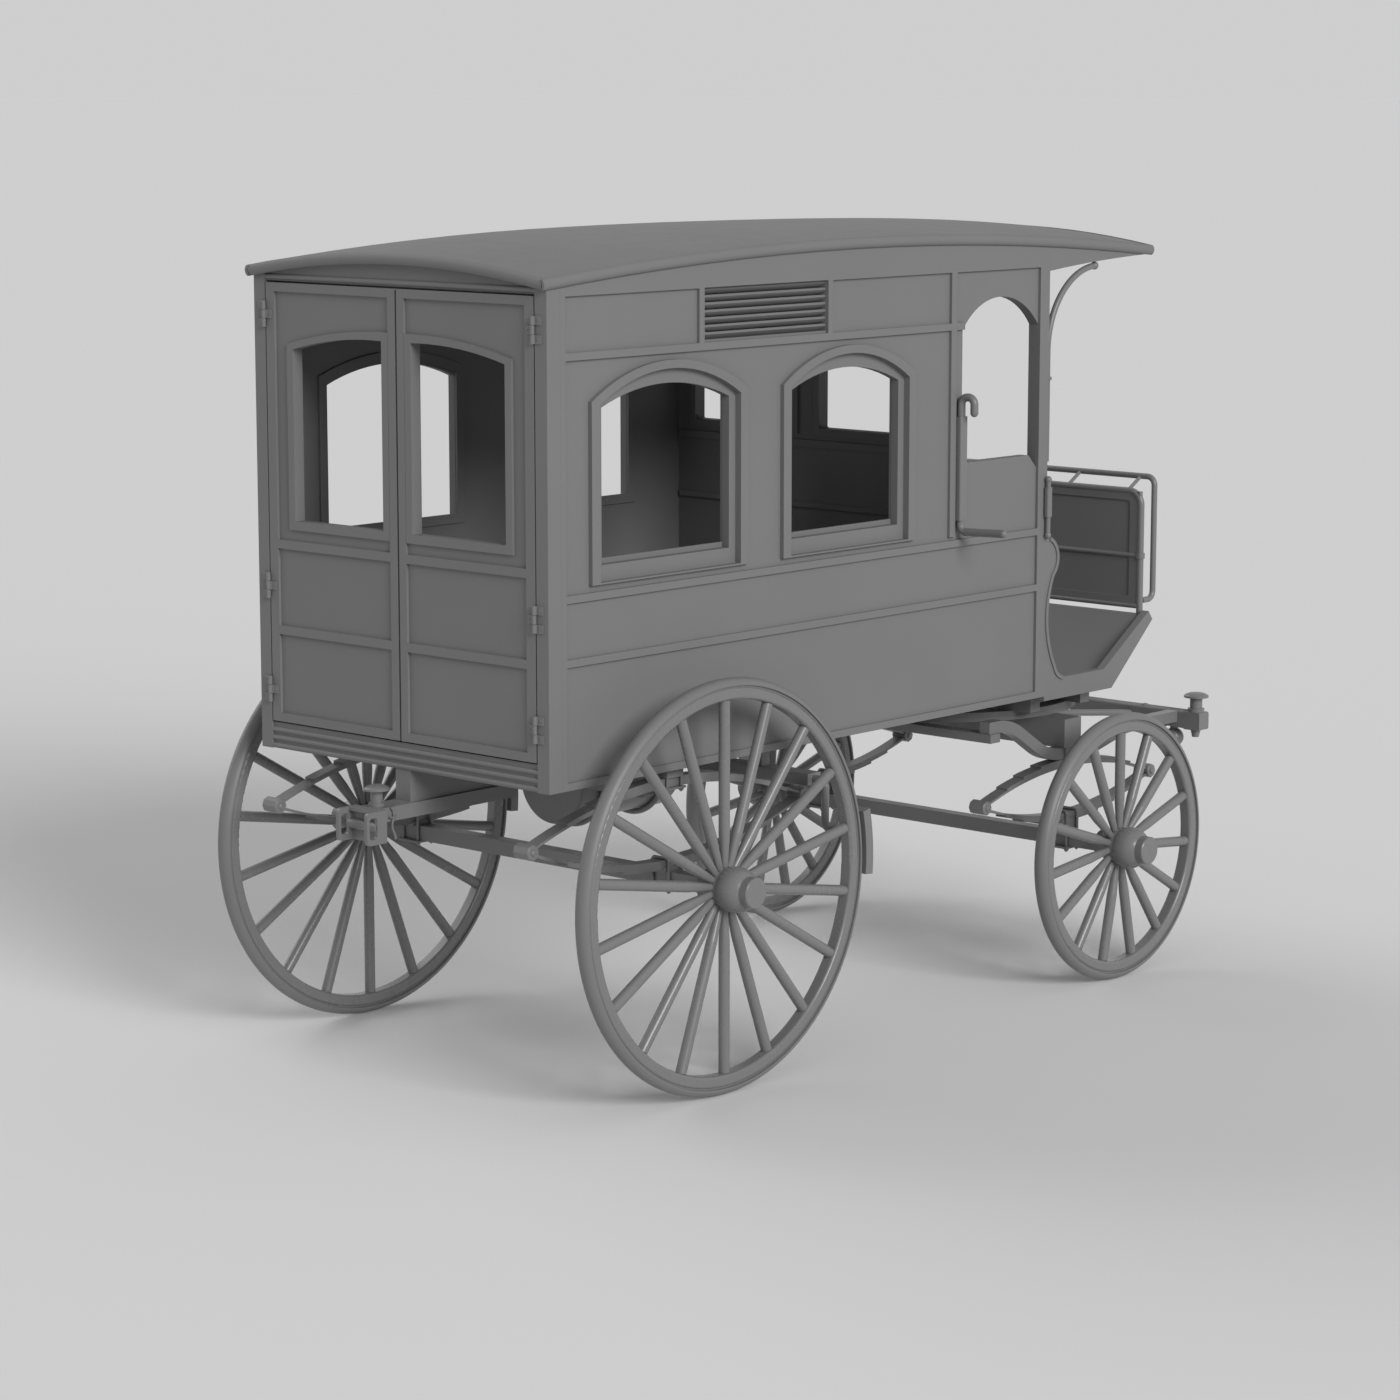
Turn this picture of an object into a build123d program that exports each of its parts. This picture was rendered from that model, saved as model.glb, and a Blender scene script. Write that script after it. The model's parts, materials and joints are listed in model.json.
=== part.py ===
from build123d import *
import math
import os

os.makedirs("parts", exist_ok=True)

# Enclosed horse drawn carriage. +X is forward, +Y is left, +Z is up, in mm.
# Places along X are written from the body's rear face and shifted once by
# CENTRE_X, so that the carriage is centred on the origin and stands on Z = 0.

# Wheels
REAR_WHEEL_R = 610.0
REAR_SPOKES = 18
FRONT_SPOKES = 15
TYRE_WIDTH = 50.0
TYRE_DEPTH = 22.0
TYRE_SHOULDER = 5.0
FELLOE_DEPTH = 40.0
FELLOE_WIDTH = 44.0
GROOVE_HEIGHT = 4.0
GROOVE_DEPTH = 4.0
WHEEL_STANDOFF = 149.5
HUB_BALL_R = 67.0
HUB_BALL_OUT = 45.0
HUB_BAND_R = 60.0
HUB_BAND_HALF = 20.0
HUB_INNER_R = 46.0
HUB_INNER_END = 62.0
HUB_COLLAR = 14.0
HUB_CAP_R = 45.5
HUB_CAP_END = 124.0
HUB_CAP_T = 14.0
SPOKE_R = 16.5
SPOKE_ROOT_R = 10.8
SPOKE_TAPER = 100.0
SEAT_GAP = 0.3
AXLE_SQ = 46.0
AXLE_ARM_R = 22.0
AXLE_FIT = 0.05
HUB_END_GAP = 6.0

# Body
BODY_LENGTH = 2282.0
BODY_WIDTH = 1191.0
BODY_HEIGHT = 1400.0
AXLE_SETBACK = 557.0
KING_AHEAD = 217.0
CAB_LENGTH = 479.0
WALL_T = 45.0
FLOOR_T = 32.0
RAIL_W = 22.0
RAIL_PROUD = 10.0
BELT_H = 359.0
WAIST_H = 539.0
FRIEZE_DROP = 188.0
TOP_RAIL_DROP = 11.0
POST_W = 48.0

# Roof
ROOF_OVERHANG_REAR = 20.0
CANOPY_LENGTH = 537.0
ROOF_BOW = 70.0
ROOF_CROWN_END = 51.0
ROOF_CROWN_MID = 28.0
ROOF_T = 28.0
ROOF_SIDE_OVERHANG = 4.0
ROOF_BEAD = 10.0
ROOF_BEAD_H = 33.0

# Springs: four leaves each way, in pairs
LEAF_T = 7.0
SPRING_WIDTH = 45.0
SPRING_INSET = 72.5
REAR_SPRING_HALF = 587.0
REAR_SPRING_RISE = 135.0
REAR_SEAT_H = 6.0
REAR_TRANSOM_H = 32.0
FRONT_SPRING_HALF = 452.0
FRONT_SPRING_RISE = 104.0
FRONT_SEAT_H = 37.0

# Steering
RING_R = 455.0
RING_WIDTH = 60.0
RING_T = 15.0
RING_GAP = 0.3
TRANSOM_H = 56.0
BOLSTER_H = 95.0
KING_PIN_R = 16.0
PIN_FIT = 0.05
FOOTWELL_DROP = 15.0
FUTCHELL_H = 38.0
FUTCHELL_W = 40.0
SPLINTER_AHEAD = 639.0
SPLINTER_DEPTH = 56.0
TRACE_CAP_R = 42.0

# Heights follow from the rear wheel up to the roof and down to the front wheel.
AXLE_REAR_Z = REAR_WHEEL_R
REAR_SPRING_LOW_Z = AXLE_REAR_Z + AXLE_SQ / 2 + REAR_SEAT_H
REAR_SPRING_TOP_Z = REAR_SPRING_LOW_Z + 2 * REAR_SPRING_RISE
BODY_BOTTOM_Z = REAR_SPRING_TOP_Z + REAR_TRANSOM_H
ROOF_EDGE_Z = BODY_BOTTOM_Z + BODY_HEIGHT
BELT_Z = BODY_BOTTOM_Z + BELT_H
WAIST_Z = BODY_BOTTOM_Z + WAIST_H
FRIEZE_Z = ROOF_EDGE_Z - FRIEZE_DROP
TOP_RAIL_Z = ROOF_EDGE_Z - TOP_RAIL_DROP
TRIM_TOP_Z = ROOF_EDGE_Z + ROOF_BOW + ROOF_CROWN_END + ROOF_T
FOOTWELL_Z = BODY_BOTTOM_Z - FOOTWELL_DROP
UPPER_RING_Z = FOOTWELL_Z - TRANSOM_H - RING_T
RING_Z = UPPER_RING_Z - RING_GAP - RING_T
BOLSTER_Z = RING_Z - BOLSTER_H
FUTCHELL_Z = BOLSTER_Z - FUTCHELL_H / 2
FRONT_SPRING_TOP_Z = BOLSTER_Z - FUTCHELL_H
FRONT_SPRING_LOW_Z = FRONT_SPRING_TOP_Z - 2 * FRONT_SPRING_RISE
AXLE_FRONT_Z = FRONT_SPRING_LOW_Z - FRONT_SEAT_H - AXLE_SQ / 2
FRONT_WHEEL_R = AXLE_FRONT_Z

# Places across and along
SIDE_Y = BODY_WIDTH / 2
INNER_HALF = SIDE_Y - WALL_T
PANEL_Y = SIDE_Y - RAIL_PROUD
WHEEL_Y = SIDE_Y + WHEEL_STANDOFF
SPRING_Y = SIDE_Y - SPRING_INSET
REAR_AXLE_X = AXLE_SETBACK
KING_X = BODY_LENGTH + KING_AHEAD
SPLINTER_X = KING_X + SPLINTER_AHEAD
CAB_X = BODY_LENGTH - CAB_LENGTH
ROOF_TIP_X = BODY_LENGTH + CANOPY_LENGTH
TOW_BACK_X = -205.0
CENTRE_X = (TOW_BACK_X + SPLINTER_X + TRACE_CAP_R) / 2


def at(x):
    """Place along X, from the body's rear face to the carriage's own frame."""
    return x - CENTRE_X


def side_view(y, x=0.0, z=0.0):
    """Plane seen from the right: local X is forward and local Y is up."""
    return Plane(origin=(at(x), y, z), x_dir=(1, 0, 0), z_dir=(0, -1, 0))


def rear_view(x, z=0.0):
    """Plane seen from behind: local X is to the right and local Y is up."""
    return Plane(origin=(at(x), 0, z), x_dir=(0, -1, 0), z_dir=(-1, 0, 0))


def roof_z(x):
    """Height of the roof's underside at the wall."""
    half = (ROOF_TIP_X + ROOF_OVERHANG_REAR) / 2
    mid = half - ROOF_OVERHANG_REAR
    radius = (half ** 2 + ROOF_BOW ** 2) / (2 * ROOF_BOW)
    return ROOF_EDGE_Z + ROOF_BOW - radius + math.sqrt(radius ** 2 - (x - mid) ** 2)


def roof_crown(x):
    """Rise of the roof's underside from the wall to the ridge."""
    half = (ROOF_TIP_X + ROOF_OVERHANG_REAR) / 2
    share = abs(x - half + ROOF_OVERHANG_REAR) / half
    return ROOF_CROWN_MID + (ROOF_CROWN_END - ROOF_CROWN_MID) * share


def arch(left, right, low, spring, apex):
    """Outline of an arched window, as a face in its plane's own places."""
    with BuildSketch(Plane.XY) as outline:
        with BuildLine():
            Polyline((left, spring), (left, low), (right, low), (right, spring))
            ThreePointArc((right, spring), ((left + right) / 2, apex), (left, spring))
        make_face()
    return outline.sketch


def bar(start, end, radius):
    """Round bar between two points."""
    run = Vector(end) - Vector(start)
    with BuildPart(Plane(origin=start, z_dir=run)) as rod:
        Cylinder(radius, run.length, align=(Align.CENTER, Align.CENTER, Align.MIN))
    return rod.part


def finish(piece, name):
    """Label a sub-part and write its STEP file."""
    piece.label = name
    export_step(piece, "parts/" + name + ".step")


# Wheels
# name, x, side (+1 left), radius, spokes
WHEELS = [
    ("wheel_rear_right", REAR_AXLE_X, -1, REAR_WHEEL_R, REAR_SPOKES),
    ("wheel_rear_left", REAR_AXLE_X, 1, REAR_WHEEL_R, REAR_SPOKES),
    ("wheel_front_right", KING_X, -1, FRONT_WHEEL_R, FRONT_SPOKES),
    ("wheel_front_left", KING_X, 1, FRONT_WHEEL_R, FRONT_SPOKES),
]

for name, x, side, radius, spokes in WHEELS:
    centre = (at(x), side * WHEEL_Y, radius)
    # Half section through a wheel: local X points up from the axle, local Y outboard.
    section = Plane(origin=centre, x_dir=(0, 0, 1), z_dir=(-side, 0, 0))
    axle_line = Axis(centre, (0, side, 0))
    felloe_out = radius - TYRE_DEPTH
    felloe_in = felloe_out - FELLOE_DEPTH
    shoulder = felloe_out + TYRE_SHOULDER

    with BuildPart() as tyre:
        with BuildSketch(section):
            with BuildLine():
                Polyline(
                    (shoulder, -TYRE_WIDTH / 2),
                    (felloe_out, -TYRE_WIDTH / 2),
                    (felloe_out, TYRE_WIDTH / 2),
                    (shoulder, TYRE_WIDTH / 2),
                )
                ThreePointArc(
                    (shoulder, TYRE_WIDTH / 2), (radius, 0), (shoulder, -TYRE_WIDTH / 2)
                )
            make_face()
        revolve(axis=axle_line)
    finish(tyre.part, name + "_tyre")

    # The felloe has rounded inner edges and a narrow groove under the tyre.
    with BuildPart() as felloe:
        with BuildSketch(section):
            with Locations((felloe_in + (FELLOE_DEPTH - GROOVE_HEIGHT) / 2, 0)):
                RectangleRounded(FELLOE_DEPTH - GROOVE_HEIGHT, FELLOE_WIDTH, FELLOE_WIDTH / 5)
            with Locations((felloe_out - FELLOE_DEPTH / 4, 0)):
                Rectangle(FELLOE_DEPTH / 2, FELLOE_WIDTH - 2 * GROOVE_DEPTH)
        revolve(axis=axle_line)
    finish(felloe.part, name + "_felloe")

    # Turned hub: inner collar, band that takes the spokes, ball and plain cap.
    ball_start = math.sqrt(HUB_BALL_R ** 2 - (HUB_BALL_OUT - HUB_BAND_HALF) ** 2)
    ball_end = HUB_BALL_OUT + math.sqrt(HUB_BALL_R ** 2 - HUB_CAP_R ** 2)
    with BuildPart() as hub:
        with BuildSketch(section):
            with BuildLine():
                Polyline(
                    (AXLE_ARM_R + AXLE_FIT, HUB_CAP_END - HUB_CAP_T),
                    (AXLE_ARM_R + AXLE_FIT, -HUB_INNER_END),
                    (HUB_INNER_R, -HUB_INNER_END),
                    (HUB_INNER_R, -HUB_INNER_END + HUB_COLLAR),
                    (HUB_BAND_R, -HUB_BAND_HALF),
                    (HUB_BAND_R, HUB_BAND_HALF),
                    (ball_start, HUB_BAND_HALF),
                )
                ThreePointArc(
                    (ball_start, HUB_BAND_HALF), (HUB_BALL_R, HUB_BALL_OUT), (HUB_CAP_R, ball_end)
                )
                Polyline(
                    (HUB_CAP_R, ball_end),
                    (HUB_CAP_R, HUB_CAP_END - HUB_CAP_T / 4),
                    (HUB_CAP_R - HUB_CAP_T / 4, HUB_CAP_END),
                    (0, HUB_CAP_END),
                    (0, HUB_CAP_END - HUB_CAP_T),
                    (AXLE_ARM_R + AXLE_FIT, HUB_CAP_END - HUB_CAP_T),
                )
            make_face()
        revolve(axis=axle_line)
    finish(hub.part, name + "_hub")

    # Turned spokes, thinner at the hub, seated between its band and the felloe.
    root = HUB_BAND_R + SEAT_GAP
    tip = felloe_in - SEAT_GAP - SPOKE_R ** 2 / (2 * felloe_in)
    with BuildPart() as one_spoke:
        with BuildSketch(section):
            with BuildLine():
                Polyline(
                    (root, 0),
                    (root, SPOKE_ROOT_R),
                    (root + SPOKE_TAPER, SPOKE_R),
                    (tip, SPOKE_R),
                    (tip, 0),
                    close=True,
                )
            make_face()
        revolve(axis=Axis(centre, (0, 0, 1)))
    with BuildPart() as spoke_set:
        for number in range(spokes):
            add(one_spoke.part.rotate(axle_line, number * 360 / spokes))
    finish(spoke_set.part, name + "_spokes")

# Roof: crowned sections lofted along its bow
ROOF_HALF = SIDE_Y + ROOF_SIDE_OVERHANG
ROOF_STATIONS = 5
roof_xs = [
    -ROOF_OVERHANG_REAR + (ROOF_TIP_X + ROOF_OVERHANG_REAR) * step / (ROOF_STATIONS - 1)
    for step in range(ROOF_STATIONS)
]
with BuildPart() as roof:
    for x in roof_xs:
        with BuildSketch(rear_view(x, roof_z(x))):
            with BuildLine():
                ThreePointArc((-ROOF_HALF, 0), (0, roof_crown(x)), (ROOF_HALF, 0))
                Line((ROOF_HALF, 0), (ROOF_HALF, ROOF_T))
                ThreePointArc(
                    (ROOF_HALF, ROOF_T), (0, roof_crown(x) + ROOF_T), (-ROOF_HALF, ROOF_T)
                )
                Line((-ROOF_HALF, ROOF_T), (-ROOF_HALF, 0))
            make_face()
    loft()
finish(roof.part, "roof")

# What lies above the roof's underside, to trim the walls that carry the roof
ROOF_SEAT_GAP = 0.2
with BuildPart() as above_roof:
    for x in roof_xs:
        with BuildSketch(rear_view(x, roof_z(x) - ROOF_SEAT_GAP)):
            with BuildLine():
                ThreePointArc((-ROOF_HALF, 0), (0, roof_crown(x)), (ROOF_HALF, 0))
                Polyline(
                    (ROOF_HALF, 0),
                    (ROOF_HALF, TRIM_TOP_Z - ROOF_EDGE_Z),
                    (-ROOF_HALF, TRIM_TOP_Z - ROOF_EDGE_Z),
                    (-ROOF_HALF, 0),
                )
            make_face()
    loft()

# Rolled moulding round the roof's edge: a D section along the bow and the ends
with BuildPart() as roof_moulding:
    for side in (-1, 1):
        with BuildLine() as bow:
            bead_xs = (roof_xs[0] - ROOF_BEAD, roof_xs[ROOF_STATIONS // 2], roof_xs[-1] + ROOF_BEAD)
            ThreePointArc(*[(at(x), side * ROOF_HALF, roof_z(x) + ROOF_T / 2) for x in bead_xs])
        with BuildSketch(Plane(origin=bow.line @ 0, x_dir=(0, side, 0), z_dir=bow.line % 0)):
            with BuildLine():
                Line((0, -ROOF_BEAD_H / 2), (0, ROOF_BEAD_H / 2))
                ThreePointArc((0, ROOF_BEAD_H / 2), (ROOF_BEAD, 0), (0, -ROOF_BEAD_H / 2))
            make_face()
        sweep(path=bow.line)
    for x, way in ((roof_xs[0], -1), (roof_xs[-1], 1)):
        end_tilt = 2 * roof_crown(x) / ROOF_HALF
        end_half = ROOF_HALF - SEAT_GAP - ROOF_BEAD_H / 2 * end_tilt
        with BuildLine() as crown:
            ThreePointArc(
                (at(x), -end_half, roof_z(x) + ROOF_T / 2 + end_tilt * (ROOF_HALF - end_half)),
                (at(x), 0, roof_z(x) + roof_crown(x) + ROOF_T / 2),
                (at(x), end_half, roof_z(x) + ROOF_T / 2 + end_tilt * (ROOF_HALF - end_half)),
            )
        with BuildSketch(Plane(origin=crown.line @ 0, x_dir=(way, 0, 0), z_dir=crown.line % 0)):
            with BuildLine():
                Line((0, -ROOF_BEAD_H / 2), (0, ROOF_BEAD_H / 2))
                ThreePointArc((0, ROOF_BEAD_H / 2), (ROOF_BEAD, 0), (0, -ROOF_BEAD_H / 2))
            make_face()
        sweep(path=crown.line)
finish(roof_moulding.part, "roof_moulding")

# Fascia under the canopy, from the front post to the tip
FASCIA_T = 20.0
FASCIA_POST_DROP = 35.0
FASCIA_MID = (256.0, 13.0)
FASCIA_TIP_BACK = 22.0
with BuildPart() as fascia:
    with BuildSketch(side_view(-SIDE_Y)):
        with BuildLine():
            ThreePointArc(
                (BODY_LENGTH, ROOF_EDGE_Z - FASCIA_POST_DROP),
                (BODY_LENGTH + FASCIA_MID[0], ROOF_EDGE_Z - FASCIA_MID[1]),
                (ROOF_TIP_X - FASCIA_TIP_BACK, ROOF_EDGE_Z - SEAT_GAP),
            )
            Polyline(
                (ROOF_TIP_X - FASCIA_TIP_BACK, ROOF_EDGE_Z - SEAT_GAP),
                (ROOF_TIP_X - FASCIA_TIP_BACK, TRIM_TOP_Z),
                (BODY_LENGTH, TRIM_TOP_Z),
                (BODY_LENGTH, ROOF_EDGE_Z - FASCIA_POST_DROP),
            )
        make_face()
    extrude(amount=-FASCIA_T)
    mirror(about=Plane.XZ)
    add(above_roof.part, mode=Mode.SUBTRACT)
finish(fascia.part, "canopy_fascia")

# Side walls
WINDOW_REAR_MARGIN = 165.0
WINDOW_GAP = 156.0
WINDOW_FRONT_MARGIN = 197.0
WINDOW_EXTRA = 41.0
SILL_RISE = 31.0
APEX_DROP = 29.0
WINDOW_RISE = 100.0
MOULDING_W = 35.0
SASH_SILL_W = 5.0
SASH_W = 27.0
SASH_SILL_H = 46.0
MOULDING_PROUD = 5.0
SASH_DEPTH = 8.0
window_room = CAB_X - WINDOW_REAR_MARGIN - WINDOW_GAP - WINDOW_FRONT_MARGIN
first_w = (window_room + WINDOW_EXTRA) / 2
second_w = (window_room - WINDOW_EXTRA) / 2
# left, right, of the moulding round each window
WINDOWS = [
    (WINDOW_REAR_MARGIN, WINDOW_REAR_MARGIN + first_w),
    (CAB_X - WINDOW_FRONT_MARGIN - second_w, CAB_X - WINDOW_FRONT_MARGIN),
]
SILL_Z = WAIST_Z + SILL_RISE
WINDOW_APEX_Z = FRIEZE_Z - APEX_DROP
WINDOW_SPRING_Z = WINDOW_APEX_Z - WINDOW_RISE
mouldings = []
sashes = []
lights = []
for left, right in WINDOWS:
    mouldings.append(arch(left, right, SILL_Z, WINDOW_SPRING_Z, WINDOW_APEX_Z))
    sashes.append(
        arch(
            left + MOULDING_W,
            right - MOULDING_W,
            SILL_Z + SASH_SILL_W,
            WINDOW_SPRING_Z - MOULDING_W / 3,
            WINDOW_APEX_Z - MOULDING_W * 0.7,
        )
    )
    inset = MOULDING_W + SASH_W
    lights.append(
        arch(
            left + inset,
            right - inset,
            SILL_Z + SASH_SILL_W + SASH_SILL_H,
            WINDOW_SPRING_Z - inset / 3,
            WINDOW_APEX_Z - inset - SASH_SILL_W,
        )
    )

VENT_BACK = 640.0
VENT_LENGTH = 550.0
VENT_SILL_RISE = 18.0
VENT_TOP_DROP = 21.0
VENT_LOW_Z = FRIEZE_Z + VENT_SILL_RISE
VENT_TOP_Z = ROOF_EDGE_Z - VENT_TOP_DROP
CAB_POST_W = 45.0
CAB_SPRING_DROP = 13.0
CAB_ARCH_RISE = 95.0
HALF_BOARD_RISE = 247.0
HALF_BOARD_CUT = 40.0
CAB_SPRING_Z = FRIEZE_Z - CAB_SPRING_DROP
HALF_BOARD_Z = WAIST_Z + HALF_BOARD_RISE
CAB_BACK = CAB_X + CAB_POST_W
CAB_FRONT = BODY_LENGTH - POST_W

panel_plane = side_view(-PANEL_Y)
with BuildPart() as side_right:
    with BuildSketch(panel_plane):
        with Locations(((WALL_T + BODY_LENGTH) / 2, (BODY_BOTTOM_Z + TRIM_TOP_Z) / 2)):
            Rectangle(BODY_LENGTH - WALL_T, TRIM_TOP_Z - BODY_BOTTOM_Z)
    extrude(amount=-(WALL_T - RAIL_PROUD))
    # Raised posts and rails: left, right, low, high
    with BuildSketch(panel_plane):
        rails = [
            (WALL_T, BODY_LENGTH, BODY_BOTTOM_Z, BODY_BOTTOM_Z + RAIL_W),
            (WALL_T, CAB_FRONT, BELT_Z - RAIL_W / 2, BELT_Z + RAIL_W / 2),
            (WALL_T, BODY_LENGTH, WAIST_Z - RAIL_W / 2, WAIST_Z + RAIL_W / 2),
            (WALL_T, CAB_BACK, FRIEZE_Z - RAIL_W / 2, FRIEZE_Z + RAIL_W / 2),
            (WALL_T, BODY_LENGTH, TOP_RAIL_Z - RAIL_W / 2, TRIM_TOP_Z),
            (WALL_T, WALL_T + RAIL_W, BODY_BOTTOM_Z, TOP_RAIL_Z),
            (VENT_BACK - RAIL_W, VENT_BACK, FRIEZE_Z, TOP_RAIL_Z),
            (VENT_BACK + VENT_LENGTH, VENT_BACK + VENT_LENGTH + RAIL_W, FRIEZE_Z, TOP_RAIL_Z),
            (CAB_X - RAIL_W, CAB_X + RAIL_W / 4, WAIST_Z + RAIL_W, TOP_RAIL_Z),
            (CAB_FRONT, BODY_LENGTH, BODY_BOTTOM_Z, TOP_RAIL_Z),
        ]
        for left, right, low, high in rails:
            with Locations(((left + right) / 2, (low + high) / 2)):
                Rectangle(right - left, high - low)
    extrude(amount=RAIL_PROUD)
    # Mouldings round the windows, with the sashes set back inside them
    with BuildSketch(panel_plane):
        for moulding in mouldings:
            add(moulding)
        for sash in sashes:
            add(sash, mode=Mode.SUBTRACT)
    extrude(amount=RAIL_PROUD + MOULDING_PROUD)
    with BuildSketch(panel_plane):
        for sash in sashes:
            add(sash)
    extrude(amount=-SASH_DEPTH, mode=Mode.SUBTRACT)
    # Window, vent and cab openings
    with BuildSketch(panel_plane.offset(RAIL_PROUD)):
        for light in lights:
            add(light)
        with Locations((VENT_BACK + VENT_LENGTH / 2, (VENT_LOW_Z + VENT_TOP_Z) / 2)):
            Rectangle(VENT_LENGTH, VENT_TOP_Z - VENT_LOW_Z)
        with BuildLine():
            Polyline(
                (CAB_BACK, CAB_SPRING_Z),
                (CAB_BACK, HALF_BOARD_Z),
                (CAB_FRONT - HALF_BOARD_CUT, HALF_BOARD_Z),
                (CAB_FRONT, HALF_BOARD_Z - HALF_BOARD_CUT),
                (CAB_FRONT, CAB_SPRING_Z),
            )
            ThreePointArc(
                (CAB_FRONT, CAB_SPRING_Z),
                ((CAB_BACK + CAB_FRONT) / 2, CAB_SPRING_Z + CAB_ARCH_RISE),
                (CAB_BACK, CAB_SPRING_Z),
            )
        make_face()
    extrude(amount=-WALL_T, mode=Mode.SUBTRACT)
    add(above_roof.part, mode=Mode.SUBTRACT)
finish(side_right.part, "side_wall_right")

with BuildPart() as side_left:
    add(side_right.part)
    mirror(about=Plane.XZ, mode=Mode.REPLACE)
finish(side_left.part, "side_wall_left")

# Louvres of the side vents: tilted slats that seat on the vent's ends
LOUVRE_SLATS = 7
LOUVRE_T = 8.0
LOUVRE_W = 24.0
LOUVRE_TILT = 35.0
with BuildPart() as louvres:
    pitch = (VENT_TOP_Z - VENT_LOW_Z) / LOUVRE_SLATS
    tilt = math.radians(LOUVRE_TILT)
    for number in range(LOUVRE_SLATS):
        for side in (-1, 1):
            slat_plane = Plane(
                origin=(
                    at(VENT_BACK + VENT_LENGTH / 2),
                    side * (SIDE_Y - WALL_T / 2),
                    VENT_LOW_Z + pitch * (number + 0.5),
                ),
                x_dir=(1, 0, 0),
                z_dir=(0, -side * math.sin(tilt), math.cos(tilt)),
            )
            with Locations(slat_plane):
                Box(VENT_LENGTH, LOUVRE_W, LOUVRE_T)
finish(louvres.part, "vent_louvres")

# Rear wall: corner posts, header and the beads under the doors
CORNER_POST_W = 50.5
DOOR_STEP = 84.0
DOOR_TOP_DROP = 19.0
DOOR_GAP = 5.0
MEETING_GAP = 8.0
MEETING_BEVEL = 10.0
DOOR_T = 30.0
FRAME_PROUD = 8.0
BEAD_R = 8.0
BEAD_PITCH = 24.0
BEAD_COUNT = 3
DOOR_HALF = SIDE_Y - CORNER_POST_W
DOOR_LOW_Z = BODY_BOTTOM_Z + DOOR_STEP
DOOR_TOP_Z = ROOF_EDGE_Z - DOOR_TOP_DROP
rear_plane = rear_view(0)
with BuildPart() as rear_frame:
    with BuildSketch(rear_plane):
        with Locations((0, (BODY_BOTTOM_Z + TRIM_TOP_Z) / 2)):
            Rectangle(BODY_WIDTH, TRIM_TOP_Z - BODY_BOTTOM_Z)
        with Locations((0, (DOOR_LOW_Z + DOOR_TOP_Z) / 2)):
            Rectangle(
                2 * (DOOR_HALF + DOOR_GAP), DOOR_TOP_Z - DOOR_LOW_Z + 2 * DOOR_GAP, mode=Mode.SUBTRACT
            )
    extrude(amount=-WALL_T)
    # Raised corner posts
    post_face = SIDE_Y - DOOR_HALF - DOOR_GAP
    with BuildSketch(rear_plane):
        with Locations((DOOR_HALF + DOOR_GAP + post_face / 2, 0), (-DOOR_HALF - DOOR_GAP - post_face / 2, 0)):
            with Locations((0, (BODY_BOTTOM_Z + TRIM_TOP_Z) / 2)):
                Rectangle(post_face, TRIM_TOP_Z - BODY_BOTTOM_Z)
    extrude(amount=FRAME_PROUD)
    # Half round beads across the sill, and one under the gable
    with BuildSketch(side_view(-SIDE_Y)):
        with Locations([(0, BODY_BOTTOM_Z + BEAD_R + 1 + BEAD_PITCH * n) for n in range(BEAD_COUNT)]):
            Circle(BEAD_R)
        with Locations((0, DOOR_TOP_Z + DOOR_GAP + BEAD_R + 4)):
            Circle(BEAD_R)
    extrude(amount=-BODY_WIDTH)
    add(above_roof.part, mode=Mode.SUBTRACT)
finish(rear_frame.part, "rear_frame")

# Rear doors
MEETING_STILE = 33.0
HINGE_STILE = 35.0
DOOR_RAIL_W = 26.0
DOOR_WAIST_RISE = 75.0
LIGHT_INSET = 60.0
LIGHT_HINGE_INSET = 112.0
LIGHT_SILL_RISE = 147.0
LIGHT_CENTRE_RISE = 18.0
LIGHT_CORNER_DROP = 23.0
LIGHT_BORDER = 26.0
DOOR_WAIST_Z = WAIST_Z + DOOR_WAIST_RISE


def door_light(border):
    """Outline of a door's window: its top rises to the doors' meeting line."""
    inner = LIGHT_INSET - border
    outer = DOOR_HALF - LIGHT_HINGE_INSET + border
    low = WAIST_Z + LIGHT_SILL_RISE - border
    inner_top = FRIEZE_Z + LIGHT_CENTRE_RISE + border
    outer_top = FRIEZE_Z - LIGHT_CORNER_DROP + border * 0.6
    with BuildSketch(Plane.XY) as outline:
        with BuildLine():
            Polyline((inner, inner_top), (inner, low), (outer, low), (outer, outer_top))
            ThreePointArc(
                (outer, outer_top),
                ((inner + outer) / 2, (inner_top + outer_top) / 2 + 14),
                (inner, inner_top),
            )
        make_face()
    return outline.sketch


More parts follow.
